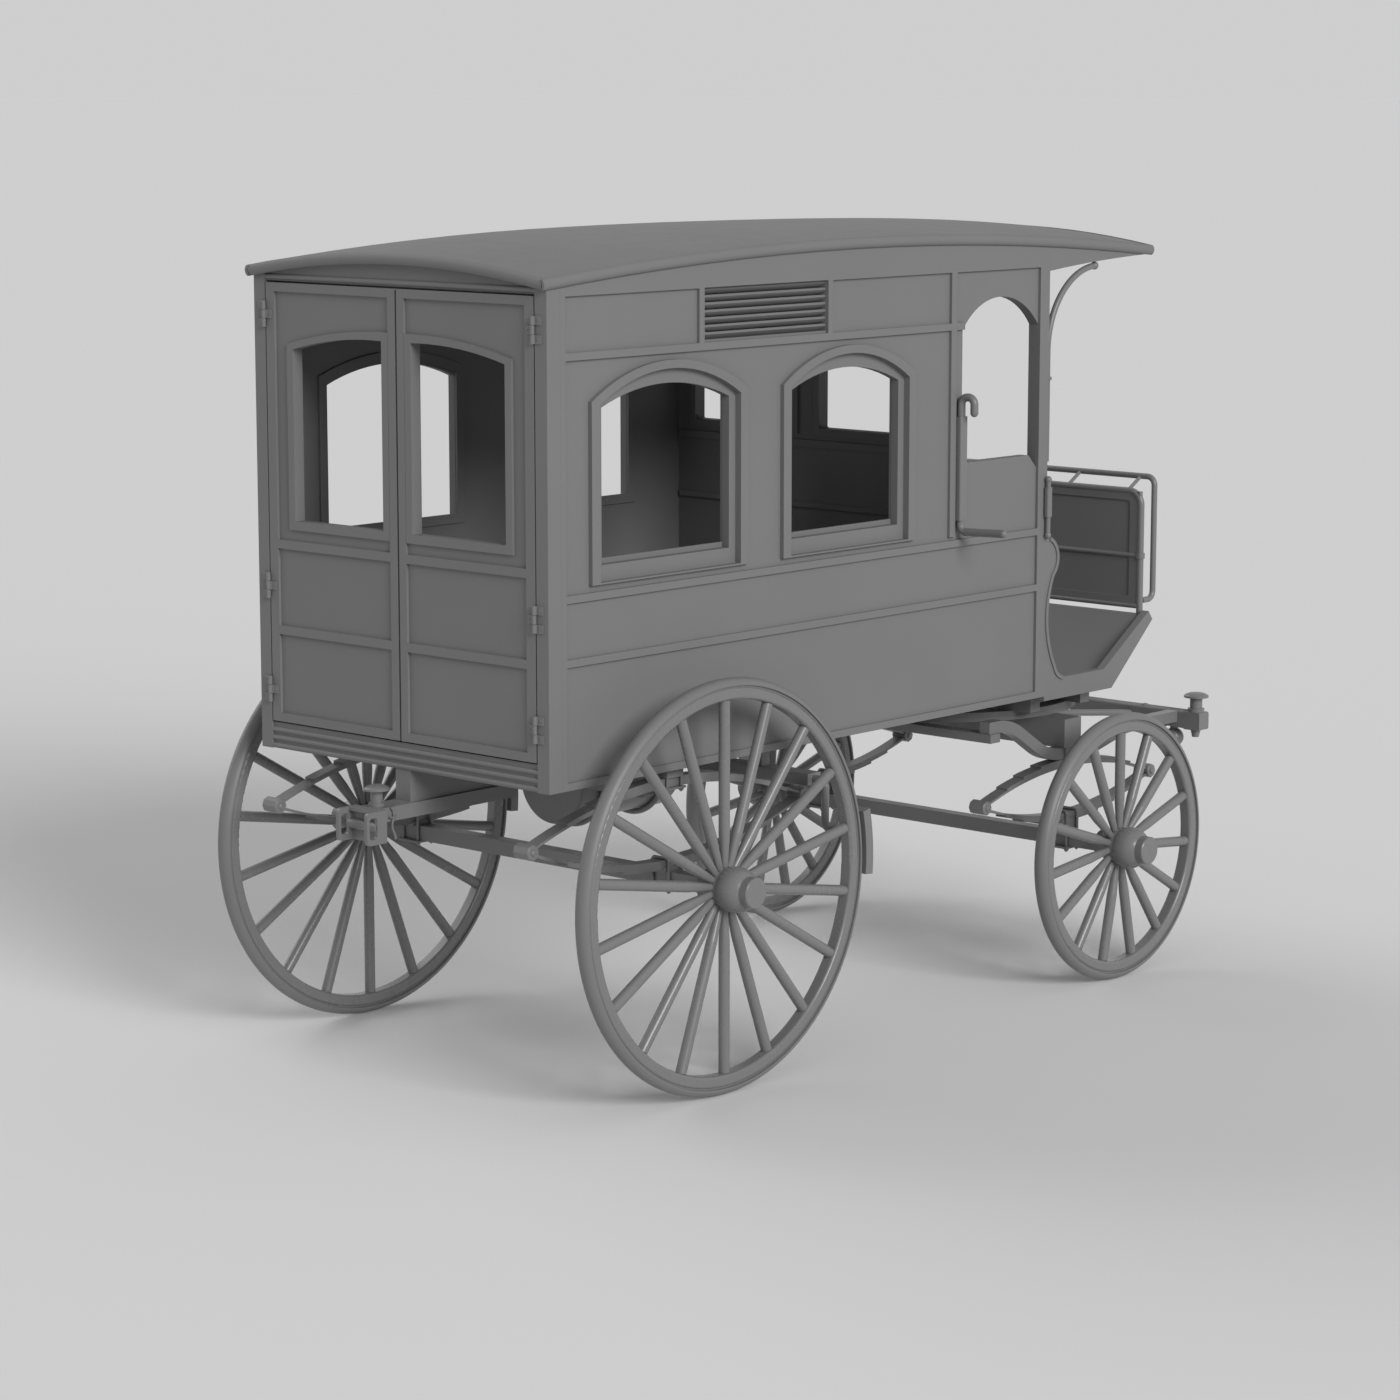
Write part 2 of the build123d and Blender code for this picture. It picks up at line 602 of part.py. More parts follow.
light_opening = door_light(0)
light_moulding = door_light(LIGHT_BORDER)
door_wide = DOOR_HALF - MEETING_GAP / 2
door_mid = MEETING_GAP / 2 + door_wide / 2
with BuildPart() as door_right:
    with BuildSketch(rear_plane):
        with Locations((door_mid, (DOOR_LOW_Z + DOOR_TOP_Z) / 2)):
            Rectangle(door_wide, DOOR_TOP_Z - DOOR_LOW_Z)
    extrude(amount=-DOOR_T)
    meeting_edges = door_right.edges().filter_by(Axis.Z).group_by(Axis.Y)[-1]
    chamfer(meeting_edges.sort_by(Axis.X)[-1], MEETING_BEVEL)
    # Raised frame: near, far from the meeting line, low, high
    with BuildSketch(rear_plane):
        bars = [
            (MEETING_GAP / 2, MEETING_STILE, DOOR_LOW_Z, DOOR_TOP_Z),
            (DOOR_HALF - HINGE_STILE, DOOR_HALF, DOOR_LOW_Z, DOOR_TOP_Z),
            (MEETING_GAP / 2, DOOR_HALF, DOOR_LOW_Z, DOOR_LOW_Z + DOOR_RAIL_W),
            (MEETING_GAP / 2, DOOR_HALF, DOOR_TOP_Z - DOOR_RAIL_W, DOOR_TOP_Z),
            (MEETING_GAP / 2, DOOR_HALF, BELT_Z - DOOR_RAIL_W / 2, BELT_Z + DOOR_RAIL_W / 2),
            (MEETING_GAP / 2, DOOR_HALF, DOOR_WAIST_Z - DOOR_RAIL_W / 2, DOOR_WAIST_Z + DOOR_RAIL_W / 2),
        ]
        for near, far, low, high in bars:
            with Locations(((near + far) / 2, (low + high) / 2)):
                Rectangle(far - near, high - low)
    extrude(amount=FRAME_PROUD)
    with BuildSketch(rear_plane):
        add(light_moulding)
    extrude(amount=FRAME_PROUD)
    with BuildSketch(rear_plane.offset(FRAME_PROUD)):
        add(light_opening)
    extrude(amount=-(DOOR_T + FRAME_PROUD), mode=Mode.SUBTRACT)
finish(door_right.part, "rear_door_right")

with BuildPart() as door_left:
    add(door_right.part)
    mirror(about=Plane.XZ, mode=Mode.REPLACE)
finish(door_left.part, "rear_door_left")

# Door hinges: leaves and outer knuckles on the posts, a middle knuckle on the door
BARREL_R = 6.5
HINGE_PIN_R = 3.5
HINGE_FIT = 0.08
KNUCKLE_H = 26.0
KNUCKLE_GAP = 0.5
LEAF_PLATE_T = 3.0
LEAF_PLATE_W = 26.0
HINGE_LOW_RISE = 95.0
HINGE_BELT_RISE = 130.0
HINGE_TOP_DROP = 92.0
HINGE_X = -(FRAME_PROUD + BARREL_R + SEAT_GAP)
HINGE_Y = DOOR_HALF + DOOR_GAP / 2
HINGE_ZS = (DOOR_LOW_Z + HINGE_LOW_RISE, BELT_Z + HINGE_BELT_RISE, DOOR_TOP_Z - HINGE_TOP_DROP)
web_x = at((HINGE_X - FRAME_PROUD) / 2)
plate_x = at(-FRAME_PROUD - LEAF_PLATE_T / 2)
knuckle = KNUCKLE_H - 2 * KNUCKLE_GAP

with BuildPart() as post_hinges:
    for z in HINGE_ZS:
        hinge_plane = Plane(origin=(at(HINGE_X), -HINGE_Y, z))
        with Locations(hinge_plane):
            Cylinder(HINGE_PIN_R, 3 * KNUCKLE_H)
        with Locations(hinge_plane.offset(KNUCKLE_H), hinge_plane.offset(-KNUCKLE_H)):
            Cylinder(BARREL_R, knuckle)
        for step in (-KNUCKLE_H, KNUCKLE_H):
            with Locations(Plane(origin=(web_x, -HINGE_Y - BARREL_R / 2, z + step))):
                Box(-HINGE_X - FRAME_PROUD, BARREL_R, knuckle)
            with Locations(
                Plane(origin=(plate_x, -HINGE_Y - BARREL_R / 2 - LEAF_PLATE_W / 2, z + step))
            ):
                Box(LEAF_PLATE_T, LEAF_PLATE_W, knuckle)
    mirror(about=Plane.XZ)
finish(post_hinges.part, "post_hinges")

with BuildPart() as hinge_right:
    for z in HINGE_ZS:
        hinge_plane = Plane(origin=(at(HINGE_X), -HINGE_Y, z))
        with Locations(hinge_plane):
            Cylinder(BARREL_R, knuckle)
        with Locations(Plane(origin=(web_x, -HINGE_Y + BARREL_R * 0.9, z))):
            Box(-HINGE_X - FRAME_PROUD, BARREL_R, knuckle)
        with Locations(
            Plane(origin=(plate_x, -HINGE_Y + DOOR_GAP / 2 + LEAF_PLATE_W / 2, z))
        ):
            Box(LEAF_PLATE_T, LEAF_PLATE_W, knuckle)
        with Locations(hinge_plane):
            Cylinder(HINGE_PIN_R + HINGE_FIT, KNUCKLE_H, mode=Mode.SUBTRACT)
finish(hinge_right.part, "rear_door_right_hinges")

with BuildPart() as hinge_left:
    add(hinge_right.part)
    mirror(about=Plane.XZ, mode=Mode.REPLACE)
finish(hinge_left.part, "rear_door_left_hinges")

# Bulkhead between the passengers and the driver, with two windows
BULKHEAD_AHEAD = 23.0
BULKHEAD_T = 30.0
BULK_STILE = 56.0
BULK_MARGIN = 80.5
BULK_LOW_RISE = 328.0
BULK_TOP_DROP = 61.0
BULKHEAD_X = CAB_X + BULKHEAD_AHEAD
bulk_low = WAIST_Z + BULK_LOW_RISE
bulk_top = FRIEZE_Z - BULK_TOP_DROP
bulk_wide = INNER_HALF - BULK_MARGIN - BULK_STILE
bulk_mid = BULK_STILE + bulk_wide / 2
with BuildPart() as bulkhead:
    with BuildSketch(rear_view(BULKHEAD_X)):
        with Locations((0, (BODY_BOTTOM_Z + FLOOR_T + TRIM_TOP_Z) / 2)):
            Rectangle(2 * INNER_HALF, TRIM_TOP_Z - BODY_BOTTOM_Z - FLOOR_T)
        with Locations((-bulk_mid, (bulk_low + bulk_top) / 2), (bulk_mid, (bulk_low + bulk_top) / 2)):
            RectangleRounded(bulk_wide, bulk_top - bulk_low, BULK_STILE / 3, mode=Mode.SUBTRACT)
    extrude(amount=BULKHEAD_T)
    add(above_roof.part, mode=Mode.SUBTRACT)
finish(bulkhead.part, "bulkhead")

with BuildPart() as floor_board:
    with BuildSketch(Plane.XY.offset(BODY_BOTTOM_Z)):
        with Locations((at((WALL_T + BODY_LENGTH) / 2), 0)):
            Rectangle(BODY_LENGTH - WALL_T, 2 * INNER_HALF)
    extrude(amount=FLOOR_T)
finish(floor_board.part, "floor")

# Benches: one each side for passengers, one across for the driver
BENCH_DEPTH = 380.0
BENCH_H = 400.0
BENCH_BACK = 200.0
BENCH_FRONT = 226.0
DRIVER_BENCH_H = 460.0
DRIVER_BENCH_DEPTH = 420.0
BENCH_TOP_T = 28.0
BENCH_NOSE = 24.0
bench_length = BULKHEAD_X - BULKHEAD_T - BENCH_BACK - BENCH_FRONT + BULKHEAD_T
bench_mid = at(BENCH_BACK + bench_length / 2)
with BuildPart() as benches:
    for side in (-1, 1):
        with BuildSketch(Plane.XY.offset(BODY_BOTTOM_Z + FLOOR_T)):
            with Locations((bench_mid, side * (INNER_HALF - (BENCH_DEPTH - BENCH_NOSE) / 2))):
                Rectangle(bench_length, BENCH_DEPTH - BENCH_NOSE)
        extrude(amount=BENCH_H - BENCH_TOP_T)
        with BuildSketch(Plane.XY.offset(BODY_BOTTOM_Z + FLOOR_T + BENCH_H - BENCH_TOP_T)):
            with Locations((bench_mid, side * (INNER_HALF - BENCH_DEPTH / 2))):
                Rectangle(bench_length, BENCH_DEPTH)
        extrude(amount=BENCH_TOP_T)
finish(benches.part, "passenger_benches")

with BuildPart() as driver_seat:
    with BuildSketch(Plane.XY.offset(BODY_BOTTOM_Z + FLOOR_T)):
        with Locations((at(BULKHEAD_X + (DRIVER_BENCH_DEPTH - BENCH_NOSE) / 2), 0)):
            Rectangle(DRIVER_BENCH_DEPTH - BENCH_NOSE, 2 * INNER_HALF)
    extrude(amount=DRIVER_BENCH_H - BENCH_TOP_T)
    with BuildSketch(Plane.XY.offset(BODY_BOTTOM_Z + FLOOR_T + DRIVER_BENCH_H - BENCH_TOP_T)):
        with Locations((at(BULKHEAD_X + DRIVER_BENCH_DEPTH / 2), 0)):
            Rectangle(DRIVER_BENCH_DEPTH, 2 * INNER_HALF)
    extrude(amount=BENCH_TOP_T)
finish(driver_seat.part, "driver_bench")

# Footwell in front of the driver: two shaped cheeks, a floor and a sloping toe board
CHEEK_T = 28.0
FOOT_FLOOR_T = 24.0
FOOT_SILL_H = 68.0
FOOT_FLOOR_LENGTH = 370.0
TOE_REACH = 226.0
TOE_RISE = 205.0
TOE_TIP = 29.0
CHEEK_TOP_H = 526.0
CHEEK_SWELL = 56.0
CHEEK_BEAD_W = 12.0
CHEEK_BEAD_PROUD = 5.0
toe_x = BODY_LENGTH + FOOT_FLOOR_LENGTH
tip_x = toe_x + TOE_REACH
tip_z = FOOTWELL_Z + TOE_RISE
sill_z = FOOTWELL_Z + FOOT_SILL_H
cheek_top_z = FOOTWELL_Z + CHEEK_TOP_H
foot_plane = side_view(-SIDE_Y, BODY_LENGTH)
cheek_curve = [
    (18, CHEEK_TOP_H), (CHEEK_SWELL, 486), (36, 409),
    (5, 264), (50, 108), (66, 82), (96, FOOT_SILL_H),
]
with BuildPart() as footwell:
    # Curved edge: swell at the top, hollow in the middle, sweep into the sill
    with BuildSketch(side_view(-SIDE_Y, BODY_LENGTH, FOOTWELL_Z)):
        with BuildLine():
            Polyline(
                cheek_curve[0],
                (0, CHEEK_TOP_H),
                (0, 0),
                (FOOT_FLOOR_LENGTH, 0),
                (FOOT_FLOOR_LENGTH + TOE_REACH, TOE_RISE),
                (FOOT_FLOOR_LENGTH + TOE_REACH - TOE_TIP * 0.75, TOE_RISE + TOE_TIP),
                (FOOT_FLOOR_LENGTH - FOOT_SILL_H * 0.65, FOOT_SILL_H),
                cheek_curve[-1],
            )
            ThreePointArc(cheek_curve[6], cheek_curve[5], cheek_curve[4])
            ThreePointArc(cheek_curve[4], cheek_curve[3], cheek_curve[2])
            ThreePointArc(cheek_curve[2], cheek_curve[1], cheek_curve[0])
        make_face()
    extrude(amount=-CHEEK_T)
    # Bead along the curved edge
    with BuildSketch(side_view(-SIDE_Y, BODY_LENGTH, FOOTWELL_Z)):
        with BuildLine():
            ThreePointArc(cheek_curve[6], cheek_curve[5], cheek_curve[4])
            ThreePointArc(cheek_curve[4], cheek_curve[3], cheek_curve[2])
            ThreePointArc(cheek_curve[2], cheek_curve[1], cheek_curve[0])
        trace(line_width=CHEEK_BEAD_W)
    extrude(amount=CHEEK_BEAD_PROUD)
    mirror(about=Plane.XZ)
    # Floor and toe board between the cheeks, with a sweep inside where they meet
    with BuildSketch(side_view(-SIDE_Y + CHEEK_T, BODY_LENGTH, FOOTWELL_Z)):
        with BuildLine():
            Polyline(
                (FOOT_FLOOR_LENGTH - 170, FOOT_FLOOR_T),
                (0, FOOT_FLOOR_T),
                (0, 0),
                (FOOT_FLOOR_LENGTH, 0),
                (FOOT_FLOOR_LENGTH + TOE_REACH, TOE_RISE),
                (FOOT_FLOOR_LENGTH + TOE_REACH, TOE_RISE + TOE_TIP / 2),
                (FOOT_FLOOR_LENGTH + TOE_REACH - TOE_TIP * 0.8, TOE_RISE + TOE_TIP / 2),
                (FOOT_FLOOR_LENGTH + TOE_REACH * 0.4, TOE_RISE * 0.4 + FOOT_FLOOR_T + 12),
            )
            ThreePointArc(
                (FOOT_FLOOR_LENGTH + TOE_REACH * 0.4, TOE_RISE * 0.4 + FOOT_FLOOR_T + 12),
                (FOOT_FLOOR_LENGTH - 30, FOOT_FLOOR_T + 25),
                (FOOT_FLOOR_LENGTH - 170, FOOT_FLOOR_T),
            )
        make_face()
    extrude(amount=-(BODY_WIDTH - 2 * CHEEK_T))
finish(footwell.part, "footwell")

# Dash: a round iron frame with a board and rails, on the toe board's top
DASH_BACK = 11.5
DASH_TUBE_R = 11.0
DASH_HALF = 550.0
DASH_TOP_RISE = 639.0
DASH_MID_RISE = 414.0
DASH_CORNER_R = 45.0
DASH_BOARD_T = 8.0
DASH_BOARD_LOW = 25.0
DASH_RAIL_R = 8.0
DASH_DIVIDER_W = 14.0
DASH_X = tip_x - DASH_BACK
dash_low_z = tip_z + TOE_TIP / 2 + SEAT_GAP
dash_top_z = FOOTWELL_Z + DASH_TOP_RISE - DASH_TUBE_R
dash_mid_z = FOOTWELL_Z + DASH_MID_RISE
dash_half = min(DASH_HALF, SIDE_Y - CHEEK_T / 2)
with BuildPart() as dash:
    with BuildLine() as dash_line:
        FilletPolyline(
            (at(DASH_X), -dash_half, dash_low_z),
            (at(DASH_X), -dash_half, dash_top_z),
            (at(DASH_X), dash_half, dash_top_z),
            (at(DASH_X), dash_half, dash_low_z),
            radius=DASH_CORNER_R,
        )
    with BuildSketch(Plane(origin=dash_line.line @ 0, z_dir=dash_line.line % 0)):
        Circle(DASH_TUBE_R)
    sweep(path=dash_line.line)
    board_low = dash_low_z + DASH_BOARD_LOW
    with BuildSketch(rear_view(DASH_X - DASH_BOARD_T / 2)):
        with Locations((0, (board_low + dash_top_z) / 2)):
            Rectangle(2 * dash_half, dash_top_z - board_low)
    extrude(amount=-DASH_BOARD_T)
    # Raised border and dividers on both faces of the board
    with BuildSketch(rear_view(DASH_X - DASH_BOARD_T / 2 - 4)):
        with Locations((0, (board_low + dash_top_z) / 2)):
            Rectangle(2 * dash_half, dash_top_z - board_low)
            RectangleRounded(
                2 * dash_half - 66, dash_top_z - board_low - 62, DASH_CORNER_R / 2, mode=Mode.SUBTRACT
            )
        with GridLocations(dash_half * 0.94, 0, 3, 1):
            with Locations((0, (board_low + dash_top_z) / 2)):
                Rectangle(DASH_DIVIDER_W, dash_top_z - board_low)
    extrude(amount=-(DASH_BOARD_T + 8))
    rails_z = (dash_mid_z, board_low)
    for z in rails_z:
        with Locations(Plane(origin=(at(DASH_X - DASH_BOARD_T / 2), 0, z), z_dir=(0, 1, 0))):
            Cylinder(DASH_RAIL_R, 2 * dash_half - DASH_TUBE_R)
    # Collars where the middle rail meets the frame
    with Locations((at(DASH_X), -dash_half, dash_mid_z), (at(DASH_X), dash_half, dash_mid_z)):
        Cylinder(DASH_TUBE_R + 4, 18)
finish(dash.part, "dash")

# Rein rail: a thinner hoop ahead of the dash, turned in to its feet
REIN_AHEAD = 74.0
REIN_RISE = 671.0
REIN_R = 10.0
REIN_CORNER_R = 28.0
REIN_STUD_R = 6.0
rein_x = DASH_X + REIN_AHEAD
rein_top_z = FOOTWELL_Z + REIN_RISE
rein_low_z = dash_low_z + 4 * DASH_TUBE_R
rein_foot_x = DASH_X + DASH_TUBE_R + SEAT_GAP
with BuildPart() as rein_rail:
    with BuildLine() as rein_line:
        FilletPolyline(
            (at(rein_foot_x), -dash_half, rein_low_z),
            (at(rein_x), -dash_half, rein_low_z),
            (at(rein_x), -dash_half, rein_top_z),
            (at(rein_x), dash_half, rein_top_z),
            (at(rein_x), dash_half, rein_low_z),
            (at(rein_foot_x), dash_half, rein_low_z),
            radius=REIN_CORNER_R,
        )
    with BuildSketch(Plane(origin=rein_line.line @ 0, z_dir=rein_line.line % 0)):
        Circle(REIN_R)
    sweep(path=rein_line.line)
    # Studs between the two top rails, square to the dash's tube
    stud_angle = math.atan2(rein_top_z - dash_top_z, REIN_AHEAD)
    stud_root = DASH_TUBE_R + SEAT_GAP
    for share in (-0.9, -0.45, 0.45, 0.9):
        stud_y = share * dash_half
        add(
            bar(
                (
                    at(DASH_X + stud_root * math.cos(stud_angle)),
                    stud_y,
                    dash_top_z + stud_root * math.sin(stud_angle),
                ),
                (at(rein_x), stud_y, rein_top_z),
                REIN_STUD_R,
            )
        )
finish(rein_rail.part, "rein_rail")

# Canopy brackets: iron rods up the front posts, curving out to a ball under the fascia
BRACKET_R = 10.0
BRACKET_BALL_R = 13.0
BRACKET_FOOT_RISE = 220.0
BRACKET_BEND_DROP = 103.0
BRACKET_REACH = 256.0
COLLAR_RISE = 485.0
BRACKET_INSET = 14.0
bracket_x = BODY_LENGTH + BRACKET_R + SEAT_GAP
ball_z = ROOF_EDGE_Z - FASCIA_POST_DROP + 20 - BRACKET_BALL_R
with BuildPart() as brackets:
    with BuildLine() as bracket_line:
        bracket_foot = (at(bracket_x), BRACKET_INSET - SIDE_Y, WAIST_Z + BRACKET_FOOT_RISE)
        bracket_bend = (at(bracket_x), BRACKET_INSET - SIDE_Y, FRIEZE_Z - BRACKET_BEND_DROP)
        bracket_tip = (at(BODY_LENGTH + BRACKET_REACH), BRACKET_INSET - SIDE_Y, ball_z)
        Line(bracket_foot, bracket_bend)
        TangentArc(bracket_bend, bracket_tip, tangent=(0, 0, 1))
    with BuildSketch(Plane(origin=bracket_foot)):
        Circle(BRACKET_R)
    sweep(path=bracket_line.line)
    with Locations(bracket_tip):
        Sphere(BRACKET_BALL_R)
    with Locations((at(bracket_x), BRACKET_INSET - SIDE_Y, WAIST_Z + COLLAR_RISE)):
        Cylinder(BRACKET_R + 5, 10)
    mirror(about=Plane.XZ)
    # The collars' backs are cut flush with the posts.
    with Locations((at(BODY_LENGTH + SEAT_GAP - 20), 0, WAIST_Z + COLLAR_RISE)):
        Box(40, BODY_WIDTH, 40, mode=Mode.SUBTRACT)
finish(brackets.part, "canopy_brackets")

# Hooked irons beside the cab: a turned-out foot, a thick grip and a hook at the top
HOOK_R = 12.5
HOOK_BEND_R = 22.0
HOOK_FOOT_RISE = 36.0
HOOK_FOOT_REACH = 167.0
HOOK_TOP_RISE = 455.0
HOOK_REACH = 50.0
HOOK_DROP = 47.0
GRIP_DEPTH = 35.0
GRIP_LOW_RISE = 72.0
GRIP_H = 323.0
HOOK_AHEAD = 27.0
hook_x = at(CAB_X + HOOK_AHEAD)
hook_y = -(PANEL_Y + HOOK_R + 0.5 + SEAT_GAP)
with BuildPart() as hooked_irons:
    with BuildLine() as hook_line:
        FilletPolyline(
            (hook_x, hook_y - HOOK_FOOT_REACH, WAIST_Z + HOOK_FOOT_RISE + 6),
            (hook_x, hook_y, WAIST_Z + HOOK_FOOT_RISE),
            (hook_x, hook_y, WAIST_Z + HOOK_TOP_RISE),
            (hook_x, hook_y - HOOK_REACH, WAIST_Z + HOOK_TOP_RISE),
            (hook_x, hook_y - HOOK_REACH, WAIST_Z + HOOK_TOP_RISE - HOOK_DROP),
            radius=HOOK_BEND_R,
        )
    with BuildSketch(Plane(origin=hook_line.line @ 0, z_dir=hook_line.line % 0)):
        Circle(HOOK_R)
    sweep(path=hook_line.line)
    with Locations(hook_line.line @ 0, hook_line.line @ 1):
        Sphere(HOOK_R)
    with BuildSketch(Plane(origin=(hook_x, hook_y, WAIST_Z + GRIP_LOW_RISE))):
        RectangleRounded(GRIP_DEPTH, 2 * HOOK_R + 1, HOOK_R * 0.5)
    extrude(amount=GRIP_H)
    mirror(about=Plane.XZ)
finish(hooked_irons.part, "hooked_irons")

# Grab handles on the front posts: a grip between two balls
GRAB_R = 8.0
GRAB_BALL_R = 11.0
GRAB_LOW_DROP = 14.0
GRAB_H = 179.0
GRAB_GRIP_H = 95.0
GRAB_GRIP_RISE = 59.0
GRAB_BACK = 8.0
grab_y = -(SIDE_Y + GRAB_BALL_R + SEAT_GAP)
grab_x = at(BODY_LENGTH - GRAB_BACK)
grab_z = WAIST_Z - GRAB_LOW_DROP
with BuildPart() as grab_handles:
    with Locations((grab_x, grab_y, grab_z), (grab_x, grab_y, grab_z + GRAB_H)):
        Sphere(GRAB_BALL_R)
    with Locations((grab_x, grab_y, grab_z + GRAB_H / 2)):
        Cylinder(GRAB_R, GRAB_H)
    with BuildSketch(Plane(origin=(grab_x, grab_y, grab_z + GRAB_GRIP_RISE))):
        RectangleRounded(3 * GRAB_R, 2 * GRAB_BALL_R - 4, GRAB_R * 0.7)
    extrude(amount=GRAB_GRIP_H)
    mirror(about=Plane.XZ)
finish(grab_handles.part, "grab_handles")

# Axles: a square bed with a round arm through each hub
AXLE_ARM_END = 107.0
BED_HALF = WHEEL_Y - HUB_INNER_END - HUB_END_GAP
for name, x, z in (("rear_axle", REAR_AXLE_X, AXLE_REAR_Z), ("front_axle", KING_X, AXLE_FRONT_Z)):
    with BuildPart() as axle:
        with Locations((at(x), 0, z)):
            Box(AXLE_SQ, 2 * BED_HALF, AXLE_SQ)
        with Locations(Plane(origin=(at(x), 0, z), z_dir=(0, 1, 0))):
            Cylinder(AXLE_ARM_R, 2 * (WHEEL_Y + AXLE_ARM_END))
            with Locations((0, 0, BED_HALF + HUB_END_GAP / 2), (0, 0, -BED_HALF - HUB_END_GAP / 2)):
                Cylinder(HUB_INNER_R, HUB_END_GAP - 2 * SEAT_GAP)
    finish(axle.part, name)

# Elliptic springs, in pairs of leaf packs with eyes at the ends
# name, x of the middle, axle top, half span, lowest z, rise to the eyes
SPRINGS = [
    ("rear_springs", REAR_AXLE_X, AXLE_REAR_Z + AXLE_SQ / 2, REAR_SPRING_HALF, REAR_SPRING_LOW_Z, REAR_SPRING_RISE),
    ("front_springs", KING_X, AXLE_FRONT_Z + AXLE_SQ / 2, FRONT_SPRING_HALF, FRONT_SPRING_LOW_Z, FRONT_SPRING_RISE),
]
LEAF_SHARES = (1.0, 0.74, 0.54, 0.34)
EYE_R = 19.0
EYE_OVER = 4.0
CLIP_W = 90.0
for name, x, seat_z, half, low_z, spring_rise in SPRINGS:
    eye_z = low_z + spring_rise
    rise = spring_rise - len(LEAF_SHARES) * LEAF_T
    radius = (half ** 2 + rise ** 2) / (2 * rise)
    base = rise - radius
    with BuildPart() as springs:
        for y in (-SPRING_Y, SPRING_Y):
            spring_plane = side_view(y + SPRING_WIDTH / 2, x, eye_z)
            with BuildSketch(spring_plane):
                for leaf, share in enumerate(LEAF_SHARES):
                    reach = math.asin(half / radius) * share
                    r_in = radius + leaf * LEAF_T
                    r_out = r_in + LEAF_T
                    with BuildLine():
                        left_in = (-r_in * math.sin(reach), base + r_in * math.cos(reach))
                        right_in = (r_in * math.sin(reach), base + r_in * math.cos(reach))
                        left_out = (-r_out * math.sin(reach), base + r_out * math.cos(reach))
                        right_out = (r_out * math.sin(reach), base + r_out * math.cos(reach))
                        ThreePointArc(left_in, (0, base + r_in), right_in)
                        Line(right_in, right_out)
                        ThreePointArc(right_out, (0, base + r_out), left_out)
                        Line(left_out, left_in)
                    make_face()
                mirror(about=Plane.XZ)
            extrude(amount=SPRING_WIDTH)
            with BuildSketch(spring_plane.offset(-EYE_OVER)):
                with Locations((-half, 0), (half, 0)):
                    RegularPolygon(EYE_R, 6)
            extrude(amount=SPRING_WIDTH + 2 * EYE_OVER)
            with BuildSketch(spring_plane.offset(-EYE_OVER)):
                with Locations((0, (seat_z + low_z + LEAF_T) / 2 - eye_z)):
                    Rectangle(CLIP_W, low_z + LEAF_T - seat_z)
            extrude(amount=SPRING_WIDTH + 2 * EYE_OVER)
    finish(springs.part, name)

# Rear transom on the springs, with a lower cross bar on hangers behind the axle
TRANSOM_W = 70.0
CROSS_BAR_BACK = 38.0
CROSS_BAR_W = 60.0
CROSS_BAR_H = 28.0
CROSS_BAR_DROP = 63.0
CROSS_BAR_INSET = 32.0
with BuildPart() as rear_transom:
    with BuildSketch(Plane.XY.offset(REAR_SPRING_TOP_Z)):
        with Locations((at(REAR_AXLE_X), 0)):
            Rectangle(TRANSOM_W, 2 * SPRING_Y + SPRING_WIDTH + 20)
    extrude(amount=BODY_BOTTOM_Z - REAR_SPRING_TOP_Z)
    cross_half = SPRING_Y - CROSS_BAR_INSET
    with BuildSketch(Plane.XY.offset(BODY_BOTTOM_Z - CROSS_BAR_DROP - CROSS_BAR_H)):
        with Locations((at(REAR_AXLE_X - CROSS_BAR_BACK), 0)):
            Rectangle(CROSS_BAR_W, 2 * cross_half)
    extrude(amount=CROSS_BAR_H)
    with BuildSketch(Plane.XY.offset(BODY_BOTTOM_Z - CROSS_BAR_DROP)):
        with Locations(
            (at(REAR_AXLE_X - CROSS_BAR_BACK), -cross_half + CROSS_BAR_W / 2),
            (at(REAR_AXLE_X - CROSS_BAR_BACK), cross_half - CROSS_BAR_W / 2),
        ):
            Rectangle(CROSS_BAR_W / 2, CROSS_BAR_W)
    extrude(amount=CROSS_BAR_DROP)
finish(rear_transom.part, "rear_transom")

# Round-bottomed trough under the floor, in two round straps
TROUGH_R = 130.0
TROUGH_DROP = 251.0
TROUGH_BACK_X = 610.0
TROUGH_LENGTH = 440.0
STRAP_R = 9.0
trough_axis_z = BODY_BOTTOM_Z - TROUGH_DROP + TROUGH_R
with BuildPart() as trough:
    with BuildSketch(rear_view(TROUGH_BACK_X)):
        with BuildLine():
            Polyline(
                (TROUGH_R, trough_axis_z),
                (TROUGH_R, BODY_BOTTOM_Z),
                (-TROUGH_R, BODY_BOTTOM_Z),
                (-TROUGH_R, trough_axis_z),
            )
            ThreePointArc(
                (-TROUGH_R, trough_axis_z), (0, trough_axis_z - TROUGH_R), (TROUGH_R, trough_axis_z)
            )
        make_face()
    extrude(amount=-TROUGH_LENGTH)
    fillet(trough.faces().sort_by(Axis.X)[0].edges().sort_by(Axis.Z)[0], 12)
finish(trough.part, "floor_trough")

